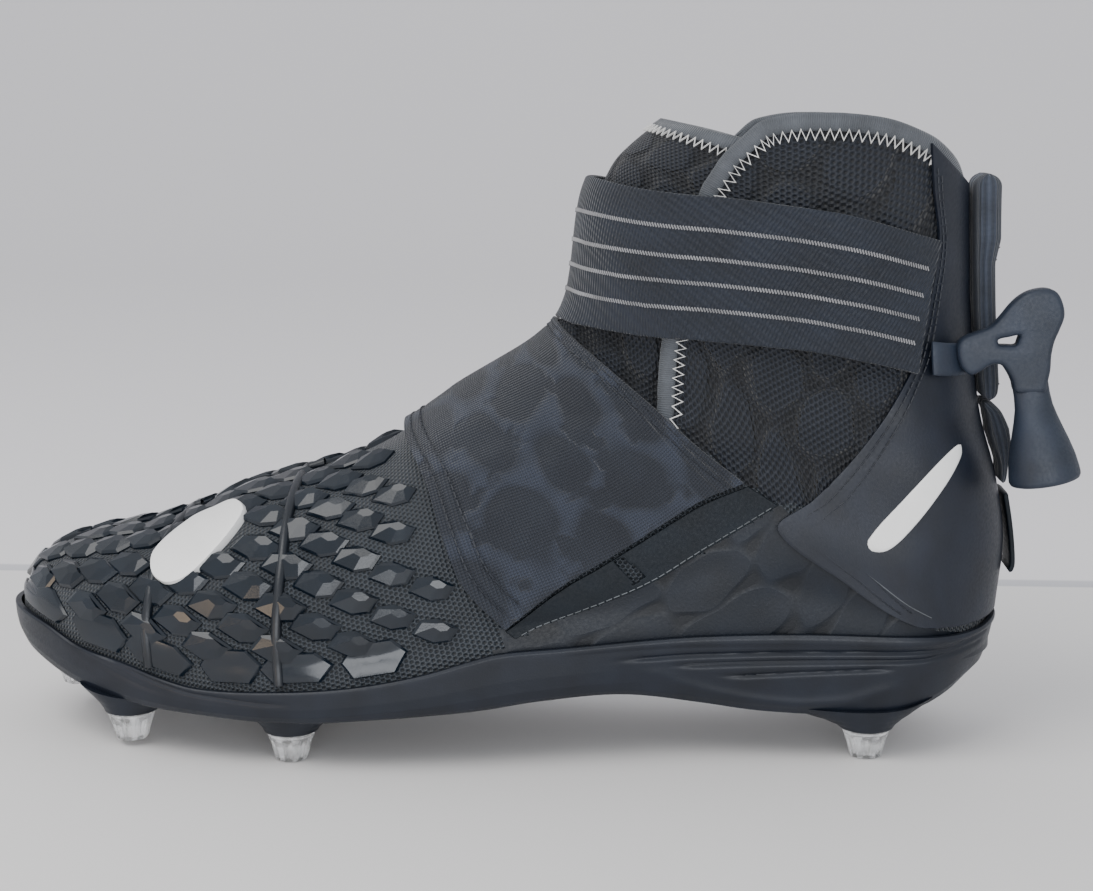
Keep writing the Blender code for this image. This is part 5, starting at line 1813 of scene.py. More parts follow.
@dataclass
class Straps:
    """Midfoot strap with its smooth strips, and the elastic ankle strap."""

    bench: Bench
    thickness: float = 0.0018
    strip_thickness: float = 0.0010
    strip_gap: float = 0.0005
    under_strap: float = 0.010
    ankle_lift: float = 0.0021
    border: float = 0.0052
    gap: float = 0.0008
    ridge_drop: float = 0.0012

    def even_rise(self, front: Sequence[SidePoint], rear: Sequence[SidePoint], side: int,
                  ) -> Callable[[np.ndarray, np.ndarray], np.ndarray]:
        """How far to go from edge to edge so that the height grows evenly.

        Args:
            front: Lower edge.
            rear: Upper edge.
            side: LATERAL or MEDIAL.

        Returns:
            A function from the even share and the share round the strap to the share on the last.
        """
        last = self.bench.last
        low, high = last.edge(front, side, 0.0), last.edge(rear, side, 0.0)
        shares = np.linspace(0, 1, 33)
        table = []
        for out in np.linspace(0, 1, 81):
            (s0, v0), (s1, v1) = low(out), high(out)
            z = last.at(s0 + (s1 - s0) * shares, side * (v0 + (v1 - v0) * shares))[:, 2]
            table.append(np.interp(np.linspace(z[0], z[-1], 33), np.maximum.accumulate(z), shares))
        rows = np.array(table)

        def warped(u: np.ndarray, out: np.ndarray) -> np.ndarray:
            """Share on the last, read between the rows of the table.

            Args:
                u: Shares across the strap.
                out: Shares out from the ridge.

            Returns:
                Shares round the section.
            """
            u, out = np.broadcast_arrays(np.asarray(u, float), np.asarray(out, float))
            i = np.minimum((out * 80).astype(int), 79)
            j = np.minimum((u * 32).astype(int), 31)
            a, b = out * 80 - i, u * 32 - j
            near = rows[i, j] * (1 - b) + rows[i, j + 1] * b
            far = rows[i + 1, j] * (1 - b) + rows[i + 1, j + 1] * b
            return near * (1 - a) + far * a

        return warped

    def band(self, name: str, front: Sequence[SidePoint], rear: Sequence[SidePoint], lift: float,
             shape: tuple[int, int], creases: Sequence[Crease], finish: Finish, node: str,
             hem: float, seam: Sequence[tuple[float, float]] = (), ridge_drop: float = 0.0) -> None:
        """A strap that crosses the ridge between two edges.

        Args:
            name: Name of the piece.
            front: Its front or lower edge.
            rear: Its rear or upper edge.
            lift: Distance from the last.
            shape: Faces across and round.
            creases: Its troughs and ridges.
            finish: Its material.
            node: The CAD node that it replaces.
            hem: Width of the sewn hem along both edges.
            seam: Side view of the edge that each end is sewn down along.
            ridge_drop: How much closer it lies over the ridge.
        """
        last = self.bench.last
        sides = (LATERAL, MEDIAL)
        edges = {side: (last.edge(front, side, 0.0), last.edge(rear, side, 0.0)) for side in sides}
        ends = {side: last.edge([side_mm(*p) for p in seam], side) if seam else None for side in sides}
        evened = {side: self.even_rise(front, rear, side) for side in sides}

        def spot(u: np.ndarray, w: np.ndarray) -> tuple[np.ndarray, np.ndarray]:
            """s and signed v at shares across and round the strap.

            Args:
                u: Shares across.
                w: Shares round, from one end to the other.

            Returns:
                s and v.
            """
            out = np.abs(2 * w - 1)
            s, v = np.zeros_like(u), np.zeros_like(u)
            for side in (LATERAL, MEDIAL):
                chosen = (w > 0.5) if side > 0 else (w <= 0.5)
                s0, v0 = edges[side][0](out)
                s1, v1 = edges[side][1](out)
                share = evened[side](u, out) if ridge_drop else u
                here_s, here_v = s0 + (s1 - s0) * share, v0 + (v1 - v0) * share
                if ends[side]:
                    (s2, v2), (s3, v3) = edges[side][0](np.ones(1)), edges[side][1](np.ones(1))
                    s4, v4 = ends[side](u)
                    here_s = here_s + out**4 * (s4 - s2 - (s3 - s2) * u)
                    here_v = here_v + out**4 * (v4 - v2 - (v3 - v2) * u)
                s = np.where(chosen, here_s, s)
                v = np.where(chosen, side * here_v, v)
            return s, v

        def place(u: np.ndarray, w: np.ndarray) -> np.ndarray:
            """Point of the strap's inner face.

            Args:
                u: Shares across.
                w: Shares round, from one end to the other.

            Returns:
                Rows of x, y and z.
            """
            s, v = spot(u, w)
            points = last.at(s, v)
            wide = 0.055
            near = np.minimum(u, 1 - u) * wide
            groove = np.exp(-(((near - hem) / 0.0008) ** 2)) + np.exp(-(((near - hem * 0.45) / 0.0006) ** 2))
            puff = 0.0003 * np.clip((hem - near) / hem, 0, 1) if hem else 0.0
            rise = relief(points, creases) * np.clip(near / 0.004, 0, 1)
            sink = ridge_drop * (1 - ease(np.abs(2 * w - 1), 0.0, 0.35))
            lifted = lift - sink + np.maximum(rise, -lift * 0.5) + puff - 0.00035 * groove * (hem > 0)
            return last.at(s, v, lifted)

        bm = grid(shape[0], shape[1], place, lambda u, w: last.cloth(*spot(u, w)))
        weld(bm)
        face_out(bm)
        strap = self.bench.piece(name, bm, finish, [node])
        thicken(strap, self.thickness, 1, 0.0005)

    def along_band(self, front: Sequence[SidePoint], rear: Sequence[SidePoint], share: float, lift: float,
                   end: float, creases: Sequence[Crease] = (), ridge_drop: float = 0.0) -> np.ndarray:
        """Points of a line round a strap, from the lateral to the medial side.

        Args:
            front: Front or lower edge of the strap.
            rear: Rear or upper edge.
            share: How far the line lies from front to rear.
            lift: Height over the last.
            end: Share round each side where it ends, 1 being the strap's end.
            creases: Troughs and ridges of the strap.
            ridge_drop: How much closer the strap lies over the ridge.

        Returns:
            Rows of x, y and z.
        """
        last = self.bench.last
        rows = []
        for side, out in ((LATERAL, np.linspace(end, 0, 60)), (MEDIAL, np.linspace(0, end, 60)[1:])):
            low, high = last.edge(front, side, 0.0), last.edge(rear, side, 0.0)
            s0, v0 = low(out)
            s1, v1 = high(out)
            there = self.even_rise(front, rear, side)(np.full(len(out), share), out) if ridge_drop else share
            s, v = s0 + (s1 - s0) * there, v0 + (v1 - v0) * there
            rise = np.maximum(relief(last.at(s, v * side), creases), -0.00105)
            sink = ridge_drop * (1 - ease(out, 0.0, 0.35))
            rows.append(last.at(s, v * side, lift + rise - sink))
        return np.vstack(rows)

    def ticks(self, line: np.ndarray, pitch: float, wide: float, lean: float) -> list[np.ndarray]:
        """Short slanting stitches across a line.

        Args:
            line: Rows of x, y and z.
            pitch: Distance between stitches.
            wide: Height of each stitch across the line.
            lean: How far each stitch slants along the line.

        Returns:
            The two or three points of each stitch.
        """
        found = []
        for stop in np.arange(pitch, length_of(line)[-1] - pitch, pitch):
            here = point_on(line, stop)
            ahead = unit(point_on(line, stop + 0.001) - here)
            rise = np.array([0.0, 0.0, 1.0])
            rise = unit(rise - ahead * (ahead @ rise))
            found.append(np.array([here - rise * wide / 2 - ahead * lean / 2,
                                   here + rise * wide / 2 + ahead * lean / 2]))
        return found

    def midfoot(self) -> None:
        """Woven strap over the instep with its double-stitched borders."""
        self.band("midfoot_webbing", STRAP_FRONT, STRAP_REAR, self.gap, (90, 190), STRAP_CREASES,
                  STRAP_WEAVE, "midfoot_strap", self.border, SEAM)
        lift = self.gap + self.thickness + THREAD_LIFT
        stitches = []
        for share in (0.035, 0.085, 0.915, 0.965):
            line = self.along_band(STRAP_FRONT, STRAP_REAR, share, lift, 0.95)
            stitches += dashes(line, STRAP_STITCH)
        self.bench.piece("midfoot_stitches", tubes(stitches, 0.00028), DARK_THREAD)

    def ankle(self) -> None:
        """Elastic ankle strap with four light stitched lines."""
        lift = self.ankle_lift
        self.band("ankle_elastic", ANKLE_BOTTOM, ANKLE_TOP, lift, (50, 230), ANKLE_CREASES, ELASTIC,
                  "ankle_strap", 0.0, (), self.ridge_drop)
        light = []
        for share in (0.22, 0.40, 0.575, 0.775):
            line = self.along_band(ANKLE_BOTTOM, ANKLE_TOP, share, lift + self.thickness + 0.00015, 0.98,
                                   ANKLE_CREASES, self.ridge_drop)
            light += self.ticks(line, 0.00085, 0.0011, 0.0007)
        self.bench.piece("ankle_light_lines", tubes(light, 0.00024), SILVER_THREAD)

    def strips(self) -> None:
        """Smooth strips under the strap's ends, the lateral one with a slot."""
        last = self.bench.last
        for name, side in (("lateral", LATERAL), ("medial", MEDIAL)):
            upper = last.edge([side_mm(*p) for p in SEAM], side)
            lower = last.edge(STRIP_LOWER, side)

            def spot(u: np.ndarray, w: np.ndarray) -> tuple[np.ndarray, np.ndarray]:
                """s and signed v of a place on the strip.

                Args:
                    u: Shares across.
                    w: Shares down the side.

                Returns:
                    s and v.
                """
                s0, v0 = lower(u)
                s1, v1 = upper(u)
                v1 = v1 + self.under_strap
                return s0 + (s1 - s0) * w, side * (v0 + (v1 - v0) * w)

            bm = grid(110, 24, lambda u, w: last.at(*spot(u, w), self.strip_gap),
                      lambda u, w: last.cloth(*spot(u, w)))
            weld(bm)
            if side == LATERAL:
                cut_faces(bm, flat(SLOT))
            face_out(bm)
            strip = self.bench.piece("strap_strip_" + name, bm, STRIP_SKIN, ["strap_base_" + name])
            thicken(strip, self.strip_thickness, 1, 0.0003)
            share = np.linspace(0.01, 0.99, 70)
            s, v = spot(share, np.full(70, 0.05))
            line = last.at(s, v, self.strip_gap + self.strip_thickness + THREAD_LIFT)
            self.bench.piece("strip_seam_" + name, tubes(dashes(line, LEATHER_STITCH), 0.00016), GREY_THREAD)

    def build(self) -> None:
        """Make both straps and the strips."""
        self.midfoot()
        self.strips()
        self.ankle()


@dataclass
class Tongue:
    """Padded tongue with its bound top edge."""

    bench: Bench
    thickness: float = 0.0026
    lift: float = -0.0028
    length: float = 0.118

    def build(self) -> None:
        """Make the leaf, its tape and the zigzag thread."""
        last = self.bench.last
        ridge = {side: last.edge(TONGUE_RIDGE, side, 0.0) for side in (LATERAL, MEDIAL)}
        rim = {side: last.edge(TONGUE_EDGE, side) for side in (LATERAL, MEDIAL)}

        def spot(u: np.ndarray, w: np.ndarray) -> tuple[np.ndarray, np.ndarray]:
            """s and signed v of a place on the tongue.

            Args:
                u: Shares up the tongue.
                w: Shares across it.

            Returns:
                s and v.
            """
            out = np.abs(2 * w - 1)
            s, v = np.zeros_like(u), np.zeros_like(u)
            for side in (LATERAL, MEDIAL):
                chosen = (w > 0.5) if side > 0 else (w <= 0.5)
                s0 = ridge[side](u)[0]
                s1, v1 = rim[side](u)
                s = np.where(chosen, s0 + (s1 - s0) * out, s)
                v = np.where(chosen, side * v1 * out, v)
            return s, v

        def place(u: np.ndarray, w: np.ndarray) -> np.ndarray:
            """Point of the leaf's face, bulging out of the open throat.

            Args:
                u: Shares up the tongue.
                w: Shares across it.

            Returns:
                Rows of x, y and z.
            """
            s, v = spot(u, w)
            swell = (1 - ease(np.abs(v), 0.03, 0.20)) * ease(u, 0.03, 0.12) * (1 - ease(u, 0.40, 0.72))
            return last.at(s, v, self.lift + 0.0034 * swell)

        bm = grid(110, 110, place, lambda u, w: last.cloth(*spot(u, w)))
        weld(bm)
        face_out(bm)
        leaf = self.bench.piece("tongue_leaf", bm, KNIT_COLLAR, ["tongue"])
        thicken(leaf, self.thickness, -1, 0.0007)
        profile = ((0.0050, 0.0003), (0.0044, 0.0007), (0.0004, 0.0007), (-0.0004, 0.0),
                   (-0.0004, -self.thickness), (0.0004, -self.thickness - 0.0006),
                   (0.0044, -self.thickness - 0.0006), (0.0050, -self.thickness - 0.0002))

        def tape(u: np.ndarray, w: np.ndarray) -> np.ndarray:
            """Point of the tape along the top edge."""
            down, rise = profile_at(profile, w)
            return last.at(*spot(1 - down / self.length, u), self.lift + rise)

        bm = grid(150, len(profile) - 1, tape, lambda u, w: np.stack([w * 12, u * 120], axis=-1))
        weld(bm)
        bmesh.ops.recalc_face_normals(bm, faces=bm.faces)
        binding = self.bench.piece("tongue_binding", bm, BINDING, (), 80)
        thicken(binding, 0.0004, -1)
        count = 74
        w = np.linspace(0.03, 0.97, count)
        down = np.where(np.arange(count) % 2, 0.0075, 0.0044)
        line = last.at(*spot(1 - down / self.length, w), self.lift + 0.0008)
        self.bench.piece("tongue_zigzag", tubes([line], ZIGZAG_RADIUS, 6), LIGHT_THREAD)


@dataclass
class Heel:
    """Smooth heel counter, its seams and the webbing trims up the back."""

    bench: Bench
    gap: float = 0.0009
    thickness: float = 0.0009
    rise_over_rim: float = 0.0022
    foot_height: float = 0.054
    webbing_width: float = 0.0160
    trim_width: float = 0.0150

    def counter_spot(self, u: np.ndarray, w: np.ndarray) -> tuple[np.ndarray, np.ndarray]:
        """s and signed v of places on the counter.

        Args:
            u: Shares of its height.
            w: Shares round the heel.

        Returns:
            s and v.
        """
        last = self.bench.last
        corners = np.array([(p.along, p.up) for p in COUNTER_FRONT])
        steps = np.hypot(*(np.diff(corners, axis=0) * (SOLE_LENGTH, BODY_HEIGHT)).T)
        way = np.concatenate([[0], np.cumsum(steps)]) / steps.sum()
        foot, top = COUNTER_BACK
        edge_x = smooth_table(way, corners[:, 0], u)
        z = smooth_table(way, corners[:, 1], u)
        out = np.abs(2 * w - 1)
        share = np.sin(np.pi / 2 * (1 - out))
        z = z + (foot + (top - foot) * u - z) * share
        back = (last.back_x(z) - TOE_X) / SOLE_LENGTH
        near_x = edge_x + (back - edge_x) * share
        over_rim = (level(RIM_LINE, along(near_x)) + self.rise_over_rim - STUD_HEIGHT) / BODY_HEIGHT
        z = np.maximum(z + (over_rim - z) * (1 - u) ** 4, over_rim + 0.06 * u)
        x = edge_x + ((last.back_x(z) - TOE_X) / SOLE_LENGTH - edge_x) * share
        s, v = np.zeros_like(u), np.zeros_like(u)
        for i in range(len(u)):
            side = MEDIAL if w[i] > 0.5 else LATERAL
            if out[i] < 0.004:
                s[i], v[i] = float(last.back_row(z[i])), 1.0 * side
                continue
            s[i], v[i] = last.find(float(along(x[i])), float(up(z[i])), side)
            v[i] *= side
        return s, v

    def counter(self) -> None:
        """The counter and the stitches along its front edge."""
        last = self.bench.last

        def place(u: np.ndarray, w: np.ndarray) -> np.ndarray:
            """Point of the counter's inner face.

            Args:
                u: Shares of its height.
                w: Shares round the heel.

            Returns:
                Rows of x, y and z.
            """
            self.spots = self.counter_spot(u, w)
            s, v = self.spots
            points = last.at(s, v)
            return last.at(s, v, self.gap + np.maximum(relief(points, COUNTER_CREASES), -0.0004))

        bm = grid(120, 130, place, lambda u, w: last.cloth(*self.spots))
        weld(bm)
        foot = [v for v in bm.verts if v.co.z < self.foot_height and not v.is_boundary]
        for _ in range(14):
            bmesh.ops.smooth_vert(bm, verts=foot, factor=0.5,
                                  use_axis_x=True, use_axis_y=True, use_axis_z=True)
        face_out(bm)
        counter = self.bench.piece("heel_counter_skin", bm, COUNTER_SKIN, ["heel_counter"])
        thicken(counter, self.thickness, 1, 0.0003)
        seams = []
        for side in (LATERAL, MEDIAL):
            for inset in (0.030, 0.060):
                u = np.linspace(0.10, 0.97, 120)
                w = np.full(120, inset if side < 0 else 1 - inset)
                line = last.at(*self.counter_spot(u, w), self.gap + self.thickness + THREAD_LIFT)
                seams += dashes(line, LEATHER_STITCH)
        self.bench.piece("counter_stitches", tubes(seams, 0.00022), DARK_THREAD)
        self.bench.counter = counter
        seam = resample(np.array(COUNTER_SEAM) * MM, 60)
        groove = [last.lay(seam, side, self.gap + self.thickness + THREAD_LIFT) for side in (LATERAL, MEDIAL)]
        self.bench.piece("counter_edge_line", tubes(groove, 0.00016), GREY_THREAD)

    def face_x(self, share: float) -> float:
        """x of the counter's outer face on the centre line."""
        return float(self.bench.last.back_x(share)) + self.gap + self.thickness

    def ribbon(self, path: np.ndarray, thickness: np.ndarray | float, width: float, rows: int,
               ) -> bmesh.types.BMesh:
        """Closed band behind the heel, from the path of its middle in side view.

        Args:
            path: Rows of x and z of the band's middle.
            thickness: Its thickness, one value or one for each of the rows.
            width: Its width across the heel.
            rows: Faces along it.

        Returns:
            Its mesh with rounded edges.
        """
        line = resample(path, rows + 1)
        run = np.gradient(line, axis=0)
        run = run / np.linalg.norm(run, axis=1, keepdims=True)
        out = np.stack([-run[:, 1], run[:, 0]], axis=1)
        thick = np.broadcast_to(np.asarray(thickness, float), (rows + 1,))
        length = float(np.linalg.norm(np.diff(line, axis=0), axis=1).sum())

        def place(u: np.ndarray, w: np.ndarray) -> np.ndarray:
            """Point of the band's skin; w runs round its cross-section.

            Args:
                u: Shares of its length.
                w: Shares round its cross-section.

            Returns:
                Rows of x, y and z.
            """
            i = np.clip(np.rint(u * rows).astype(int), 0, rows)
            angle = 2 * np.pi * w
            a, b = squarish(np.cos(angle), 0.35), squarish(np.sin(angle), 0.35)
            end = np.minimum(u, 1 - u) * length
            taper = np.sqrt(1 - (1 - np.clip(end / (thick[i] * 0.45), 0.02, 1)) ** 2)
            x, z = (line[i] + out[i] * (b * thick[i] / 2 * taper)[:, None]).T
            return np.stack([x, a * (width / 2 - thick[i] * 0.12 * (1 - taper)), z], axis=1)

        bm = grid(rows, 48, place, lambda u, w: np.stack([u * length / MM, w * 40], axis=-1))
        return close(bm)

    def pull(self) -> None:
        """Padded ribbed webbing sewn up the back of the heel."""
        shares = np.linspace(0.534, 0.904, 40)
        inner = np.array([(self.face_x(t) + 0.0005, up(t)) for t in shares])
        stands = np.interp(shares, [0.534, 0.56, 0.61, 0.76, 0.80, 0.904],
                           [0.0046, 0.0058, 0.0062, 0.0064, 0.0082, 0.0084])
        middle = inner + np.stack([stands / 2, np.zeros(40)], axis=1)
        rows = 110
        bm = self.ribbon(middle, np.interp(np.linspace(0, 1, rows + 1), np.linspace(0, 1, 40), stands),
                         self.webbing_width, rows)
        self.bench.piece("heel_pull_webbing", bm, WEBBING, ["heel_webbing"], 60)
        stitches = []
        for t in (0.560, 0.610, 0.765, 0.785):
            x = self.face_x(t) + float(np.interp(t, shares, stands)) + 0.0005
            line = np.array([(x, y, up(t)) for y in np.linspace(-0.0066, 0.0066, 12)])
            stitches += dashes(line, WEBBING_STITCH)
        self.bench.piece("heel_pull_stitches", tubes(stitches, 0.00028), DARK_THREAD)

    def trims(self) -> None:
        """Small loop and flap under the pull."""
        rows = 60
        steps = np.linspace(0, 1, rows + 1)
        for name, path, full, node, finish in (
            ("heel_loop_webbing", LOOP_PATH, 1.0, "heel_loop", WEBBING),
            ("heel_flap_leather", FLAP_PATH, 0.0, "heel_flap", STRIP_SKIN),
        ):
            outs = np.array([p.out for p in path])
            thick = np.maximum((outs - self.gap) * full, 0.0018)
            middle = np.array([(self.face_x(p.up) + p.out - t / 2, up(p.up)) for p, t in zip(path, thick)])
            along_path = np.interp(steps, np.linspace(0, 1, len(path)), thick)
            self.bench.piece(name, self.ribbon(middle, along_path, self.trim_width, rows), finish, [node], 60)

    def build(self) -> None:
        """Make every piece of the heel."""
        self.counter()
        self.pull()
        self.trims()


@dataclass
class RubberPull:
    """Moulded rubber pull: an arm on the counter, a link with a hole and a bell grip."""

    bench: Bench
    thickness: float = 0.0070
    across: float = -0.235
    rounding: float = 0.0016
    grip_diameter: float = 0.0205
    grip_length: float = 0.0290
    grip_lean: float = math.radians(11)

    def build(self) -> None:
        """Make the pull as one piece."""
        y = self.across * BALL_WIDTH
        outline = resample(np.array(LINK_OUTLINE) * MM, 120, True)
        hole = resample(np.array(LINK_HOLE) * MM, 40, True)
        link = plate_of([outline, hole], y, self.thickness, self.rounding)
        profile = [(-0.16, 0.36), (-0.10, 0.46), (0.0, 0.50), (0.12, 0.50), (0.24, 0.53), (0.36, 0.61),
                   (0.48, 0.71), (0.62, 0.83), (0.76, 0.93), (0.90, 0.99), (0.96, 1.0), (0.99, 0.96),
                   (1.0, 0.88)]
        profile = profile + [(1.0, 0.80), (0.965, 0.74), (0.93, 0.60), (0.92, 0.0)]

        def bell(u: np.ndarray, w: np.ndarray) -> np.ndarray:
            """Point of the grip's skin, flat at the neck.

            Args:
                u: Shares of its profile.
                w: Shares of a turn.

            Returns:
                Rows of x, y and z.
            """
            down, radius = profile_at(profile, u) * [[self.grip_length], [self.grip_diameter / 2]]
            angle = 2 * np.pi * w
            deep = 0.64 + 0.36 * ease(down / self.grip_length, 0.05, 0.45)
            return np.stack([radius * np.cos(angle), deep * radius * np.sin(angle), -down], axis=1)

        grip = close(grid(60, 48, bell))
        top = Matrix.Translation((along(1.0130), y, up(0.575)))
        bmesh.ops.transform(grip, matrix=top @ Matrix.Rotation(-self.grip_lean, 4, "Y"), verts=grip.verts)
        last = self.bench.last
        front = last.edge([SidePoint(0.912, 0.643), SidePoint(0.914, 0.588)], LATERAL)
        rear = last.edge([SidePoint(0.9540, 0.638), SidePoint(0.9530, 0.586)], LATERAL)

        def arm(u: np.ndarray, w: np.ndarray) -> np.ndarray:
            """Point of the arm, bowed out in the middle; w runs round its section.

            Args:
                u: Shares of its length.
                w: Shares round its section.

            Returns:
                Rows of x, y and z.
            """
            angle = 2 * np.pi * w
            high = 0.5 + 0.5 * squarish(np.cos(angle), 0.5)
            thick = 0.5 + 0.5 * squarish(np.sin(angle), 0.5)
            s0, v0 = front(high)
            s1, v1 = rear(high)
            ends = np.sin(np.pi * np.clip(u, 0, 1)) ** 0.3
            lift = 0.0023 + 0.0026 * (0.5 + (thick - 0.5) * np.clip(ends, 0.25, 1))
            return last.at(s0 + (s1 - s0) * u, -(v0 + (v1 - v0) * u), lift)

        whole = merge([link, grip, close(grid(24, 32, arm))])
        self.bench.piece("rubber_pull_body", whole, RUBBER, ["rubber_pull"], 40)


PLATE_GROOVES = (
    Crease(((44, 32.2), (60, 33.1), (85, 34.0), (110, 34.3), (135, 34.2), (147, 37.2)), -0.9, 0.75),
    Crease(((58, 29.8), (72, 30.5), (85, 31.0), (110, 31.5), (128, 31.8), (145, 34.4)), -0.9, 0.75),
    Crease(((72, 26.5), (82, 27.2), (92, 27.8), (106, 28.6), (117, 29.2)), -0.8, 0.7),
    Crease(((50, 28.0), (56, 25.0), (66, 21.8), (78, 19.4), (92, 17.9), (107, 19.1), (118, 23.2)), 0.5, 1.6),
    Crease(((-146, 45), (-134, 39.8), (-124, 33.8), (-112, 28.5), (-97, 23.8), (-85, 21.2), (-60, 20.0)),
           -0.5, 0.6),
    Crease(((-140, 38.5), (-132, 34.6), (-120, 28.8), (-108, 24.2), (-97, 20.8)), -0.3, 0.8),
)


@dataclass
class SolePlate:
    """Sole plate with its lip, grooved heel wall and bosses; the studs and the insole."""

    bench: Bench
    around: int = 260
    rib_start: float = 0.56
    rib_full: float = 0.70

    def ribbed(self, share: np.ndarray) -> np.ndarray:
        """How much of the heel's form holds at a share of the length."""
        return ease(share, self.rib_start, self.rib_full)

    @staticmethod
    def around_plan(u: np.ndarray) -> tuple[np.ndarray, np.ndarray]:
        """Share of the length and side of a place on the way round the plan."""
        angle = 2 * np.pi * u
        return (1 - np.cos(angle)) / 2, np.where(angle <= np.pi, LATERAL, MEDIAL)

    @staticmethod
    def plan_place(share: np.ndarray, side: np.ndarray, inset: np.ndarray, to_spine: np.ndarray,
                   ) -> tuple[np.ndarray, np.ndarray]:
        """Place on the plan, drawn in from its edge.

        Args:
            share: Share of the length.
            side: LATERAL or MEDIAL.
            inset: Distance from the edge.
            to_spine: How far to go on from there to the middle line, 0 to 1.

        Returns:
            x and y.
        """
        inset = inset + (SPINE_INSET - inset) * to_spine
        x = TOE_X + inset + share * (SOLE_LENGTH - 2 * inset)
        edge = np.where(side > 0, plan_edge(x, MEDIAL, inset), plan_edge(x, LATERAL, inset))
        return x, edge + (centre_line(x) - edge) * to_spine

    def plate(self) -> None:
        """The plate: bottom, grooved wall, lip and bed, closed along its middle line."""
        fore = [(0.0, 4.0), (0.05, 2.4), (0.10, 1.6), (0.26, 0.6), (0.50, 0.2), (0.70, 0.1), (0.88, 0.0),
                (0.95, 0.0), (1.0, 0.4)]
        heel = [(0.0, 5.0), (0.10, 3.6), (0.26, 2.8), (0.44, 2.0), (0.60, 1.4), (0.76, 0.9), (0.86, 0.7),
                (0.90, 0.1), (0.95, 0.0), (1.0, 0.4)]
        walls = 64
        stations = np.concatenate([[0, 0.02, 0.04, 0.06], np.linspace(0.08, 0.72, walls),
                                   [0.735, 0.75, 0.77, 0.90, 0.95, 1.0]])
        steps = np.linspace(0, 1, len(stations))

        def place(u: np.ndarray, w: np.ndarray) -> np.ndarray:
            """Point of the plate; u runs round the plan and w from the bottom to the bed.

            Args:
                u: Shares of the way round.
                w: Shares of the way up.

            Returns:
                Rows of x, y and z.
            """
            share, side = self.around_plan(u)
            t = np.interp(w, steps, stations)
            rise = np.clip((t - 0.08) / 0.64, 0, 1)
            front = np.interp(rise, [p[0] for p in fore], [p[1] for p in fore])
            rear = np.interp(rise, [p[0] for p in heel], [p[1] for p in heel])
            inset = (front + (rear - front) * self.ribbed(share)) * MM
            inset = np.where(t > 0.72, 0.0004 + (LIP_WALL - 0.0004) * np.clip((t - 0.72) / 0.03, 0, 1), inset)
            to_spine = np.clip((0.08 - t) / 0.08, 0, 1) + np.clip((t - 0.77) / 0.23, 0, 1)
            x, y = self.plan_place(share, side, inset, to_spine)
            bottom, rim, bed = level(BOTTOM_LINE, x), level(RIM_LINE, x), level(BED_LINE, x)
            z = bottom + (rim - bottom) * rise
            z = np.where(t > 0.75, rim + (bed - rim) * np.clip((t - 0.75) / 0.02, 0, 1), z)
            points = np.stack([x, y, z], axis=1)
            on_wall = (t > 0.08) & (t < 0.73)
            points[:, 1] += side * relief(points, PLATE_GROOVES) * on_wall
            return points

        bm = grid(self.around, len(stations) - 1, place)
        weld(bm)
        bmesh.ops.dissolve_degenerate(bm, edges=bm.edges, dist=0.00001)
        bmesh.ops.recalc_face_normals(bm, faces=bm.faces)
        parts = [bm] + [self.boss(stud) for stud in STUDS]
        self.bench.piece("sole_plate", merge(parts), PLATE, ["outsole_plate"], 42)

    def boss(self, stud: Stud) -> bmesh.types.BMesh:
        """Round boss that a stud screws up to, flared fore and aft into the sole.

        Args:
            stud: The stud.

        Returns:
            Its mesh.
        """
        x, y = along(stud.along), stud.across * BALL_WIDTH
        seat = STUD_HEIGHT + stud.lift * BODY_HEIGHT
        ahead, behind = (0.024, 0.011) if "heel" in stud.name else (0.006, 0.009)
        profile = [(0.0, 0.0, 0.0), (0.0, 0.0074, 0.0), (0.02, 0.0080, 0.0), (0.20, 0.0082, 0.06),
                   (0.45, 0.0085, 0.25),
                   (0.70, 0.0089, 0.55), (0.88, 0.0092, 0.82), (1.0, 0.0094, 1.0), (1.0, 0.0, 1.0)]

        def turn(u: np.ndarray, w: np.ndarray) -> np.ndarray:
            """Point of the boss's skin.

            Args:
                u: Shares of its profile.
                w: Shares of a turn.

            Returns:
                Rows of x, y and z.
            """
            rise, radius, flare = profile_at(profile, u)
            flare = flare * np.minimum(radius / 0.007, 1)
            turned = np.cos(2 * np.pi * w)
            px = x + turned * (radius + flare * np.where(turned < 0, ahead, behind))
            root = level(BOTTOM_LINE, px) + 0.0017
            return np.stack([px, y + radius * np.sin(2 * np.pi * w), seat + rise * (root - seat)], axis=1)

        return close(grid(48, 64, turn))

    def studs(self) -> None:
        """Clear fluted studs."""
        tall = STUD_HEIGHT - FLAT_GAP
        profile = [(0.0, 0.0), (0.0, 0.0040), (0.03, 0.0045), (0.08, 0.0047), (0.30, 0.0052), (0.55, 0.0058),
                   (0.78, 0.0066), (0.90, 0.0070), (0.97, 0.0071), (1.0, 0.0069), (1.0, 0.0)]
        for stud in STUDS:
            x, y = along(stud.along), stud.across * BALL_WIDTH
            tip = STUD_HEIGHT + stud.lift * BODY_HEIGHT - FLAT_GAP - tall

            def turn(u: np.ndarray, w: np.ndarray) -> np.ndarray:
                """Point of the stud's skin, with eight flutes.

                Args:
                    u: Shares of its profile.
                    w: Shares of a turn.

                Returns:
                    Rows of x, y and z.
                """
                rise, radius = profile_at(profile, u)
                flute = 0.00055 * np.clip(np.cos(16 * np.pi * w), -0.2, 1.0) * np.clip(rise * 8, 0, 1)
                flute = flute * np.clip((0.86 - rise) * 10, 0, 1)
                radius = np.maximum(radius - np.where(radius > 0.003, flute, 0), 0)
                return np.stack([x + radius * np.cos(2 * np.pi * w), y + radius * np.sin(2 * np.pi * w),
                                 tip + rise * tall], axis=1)

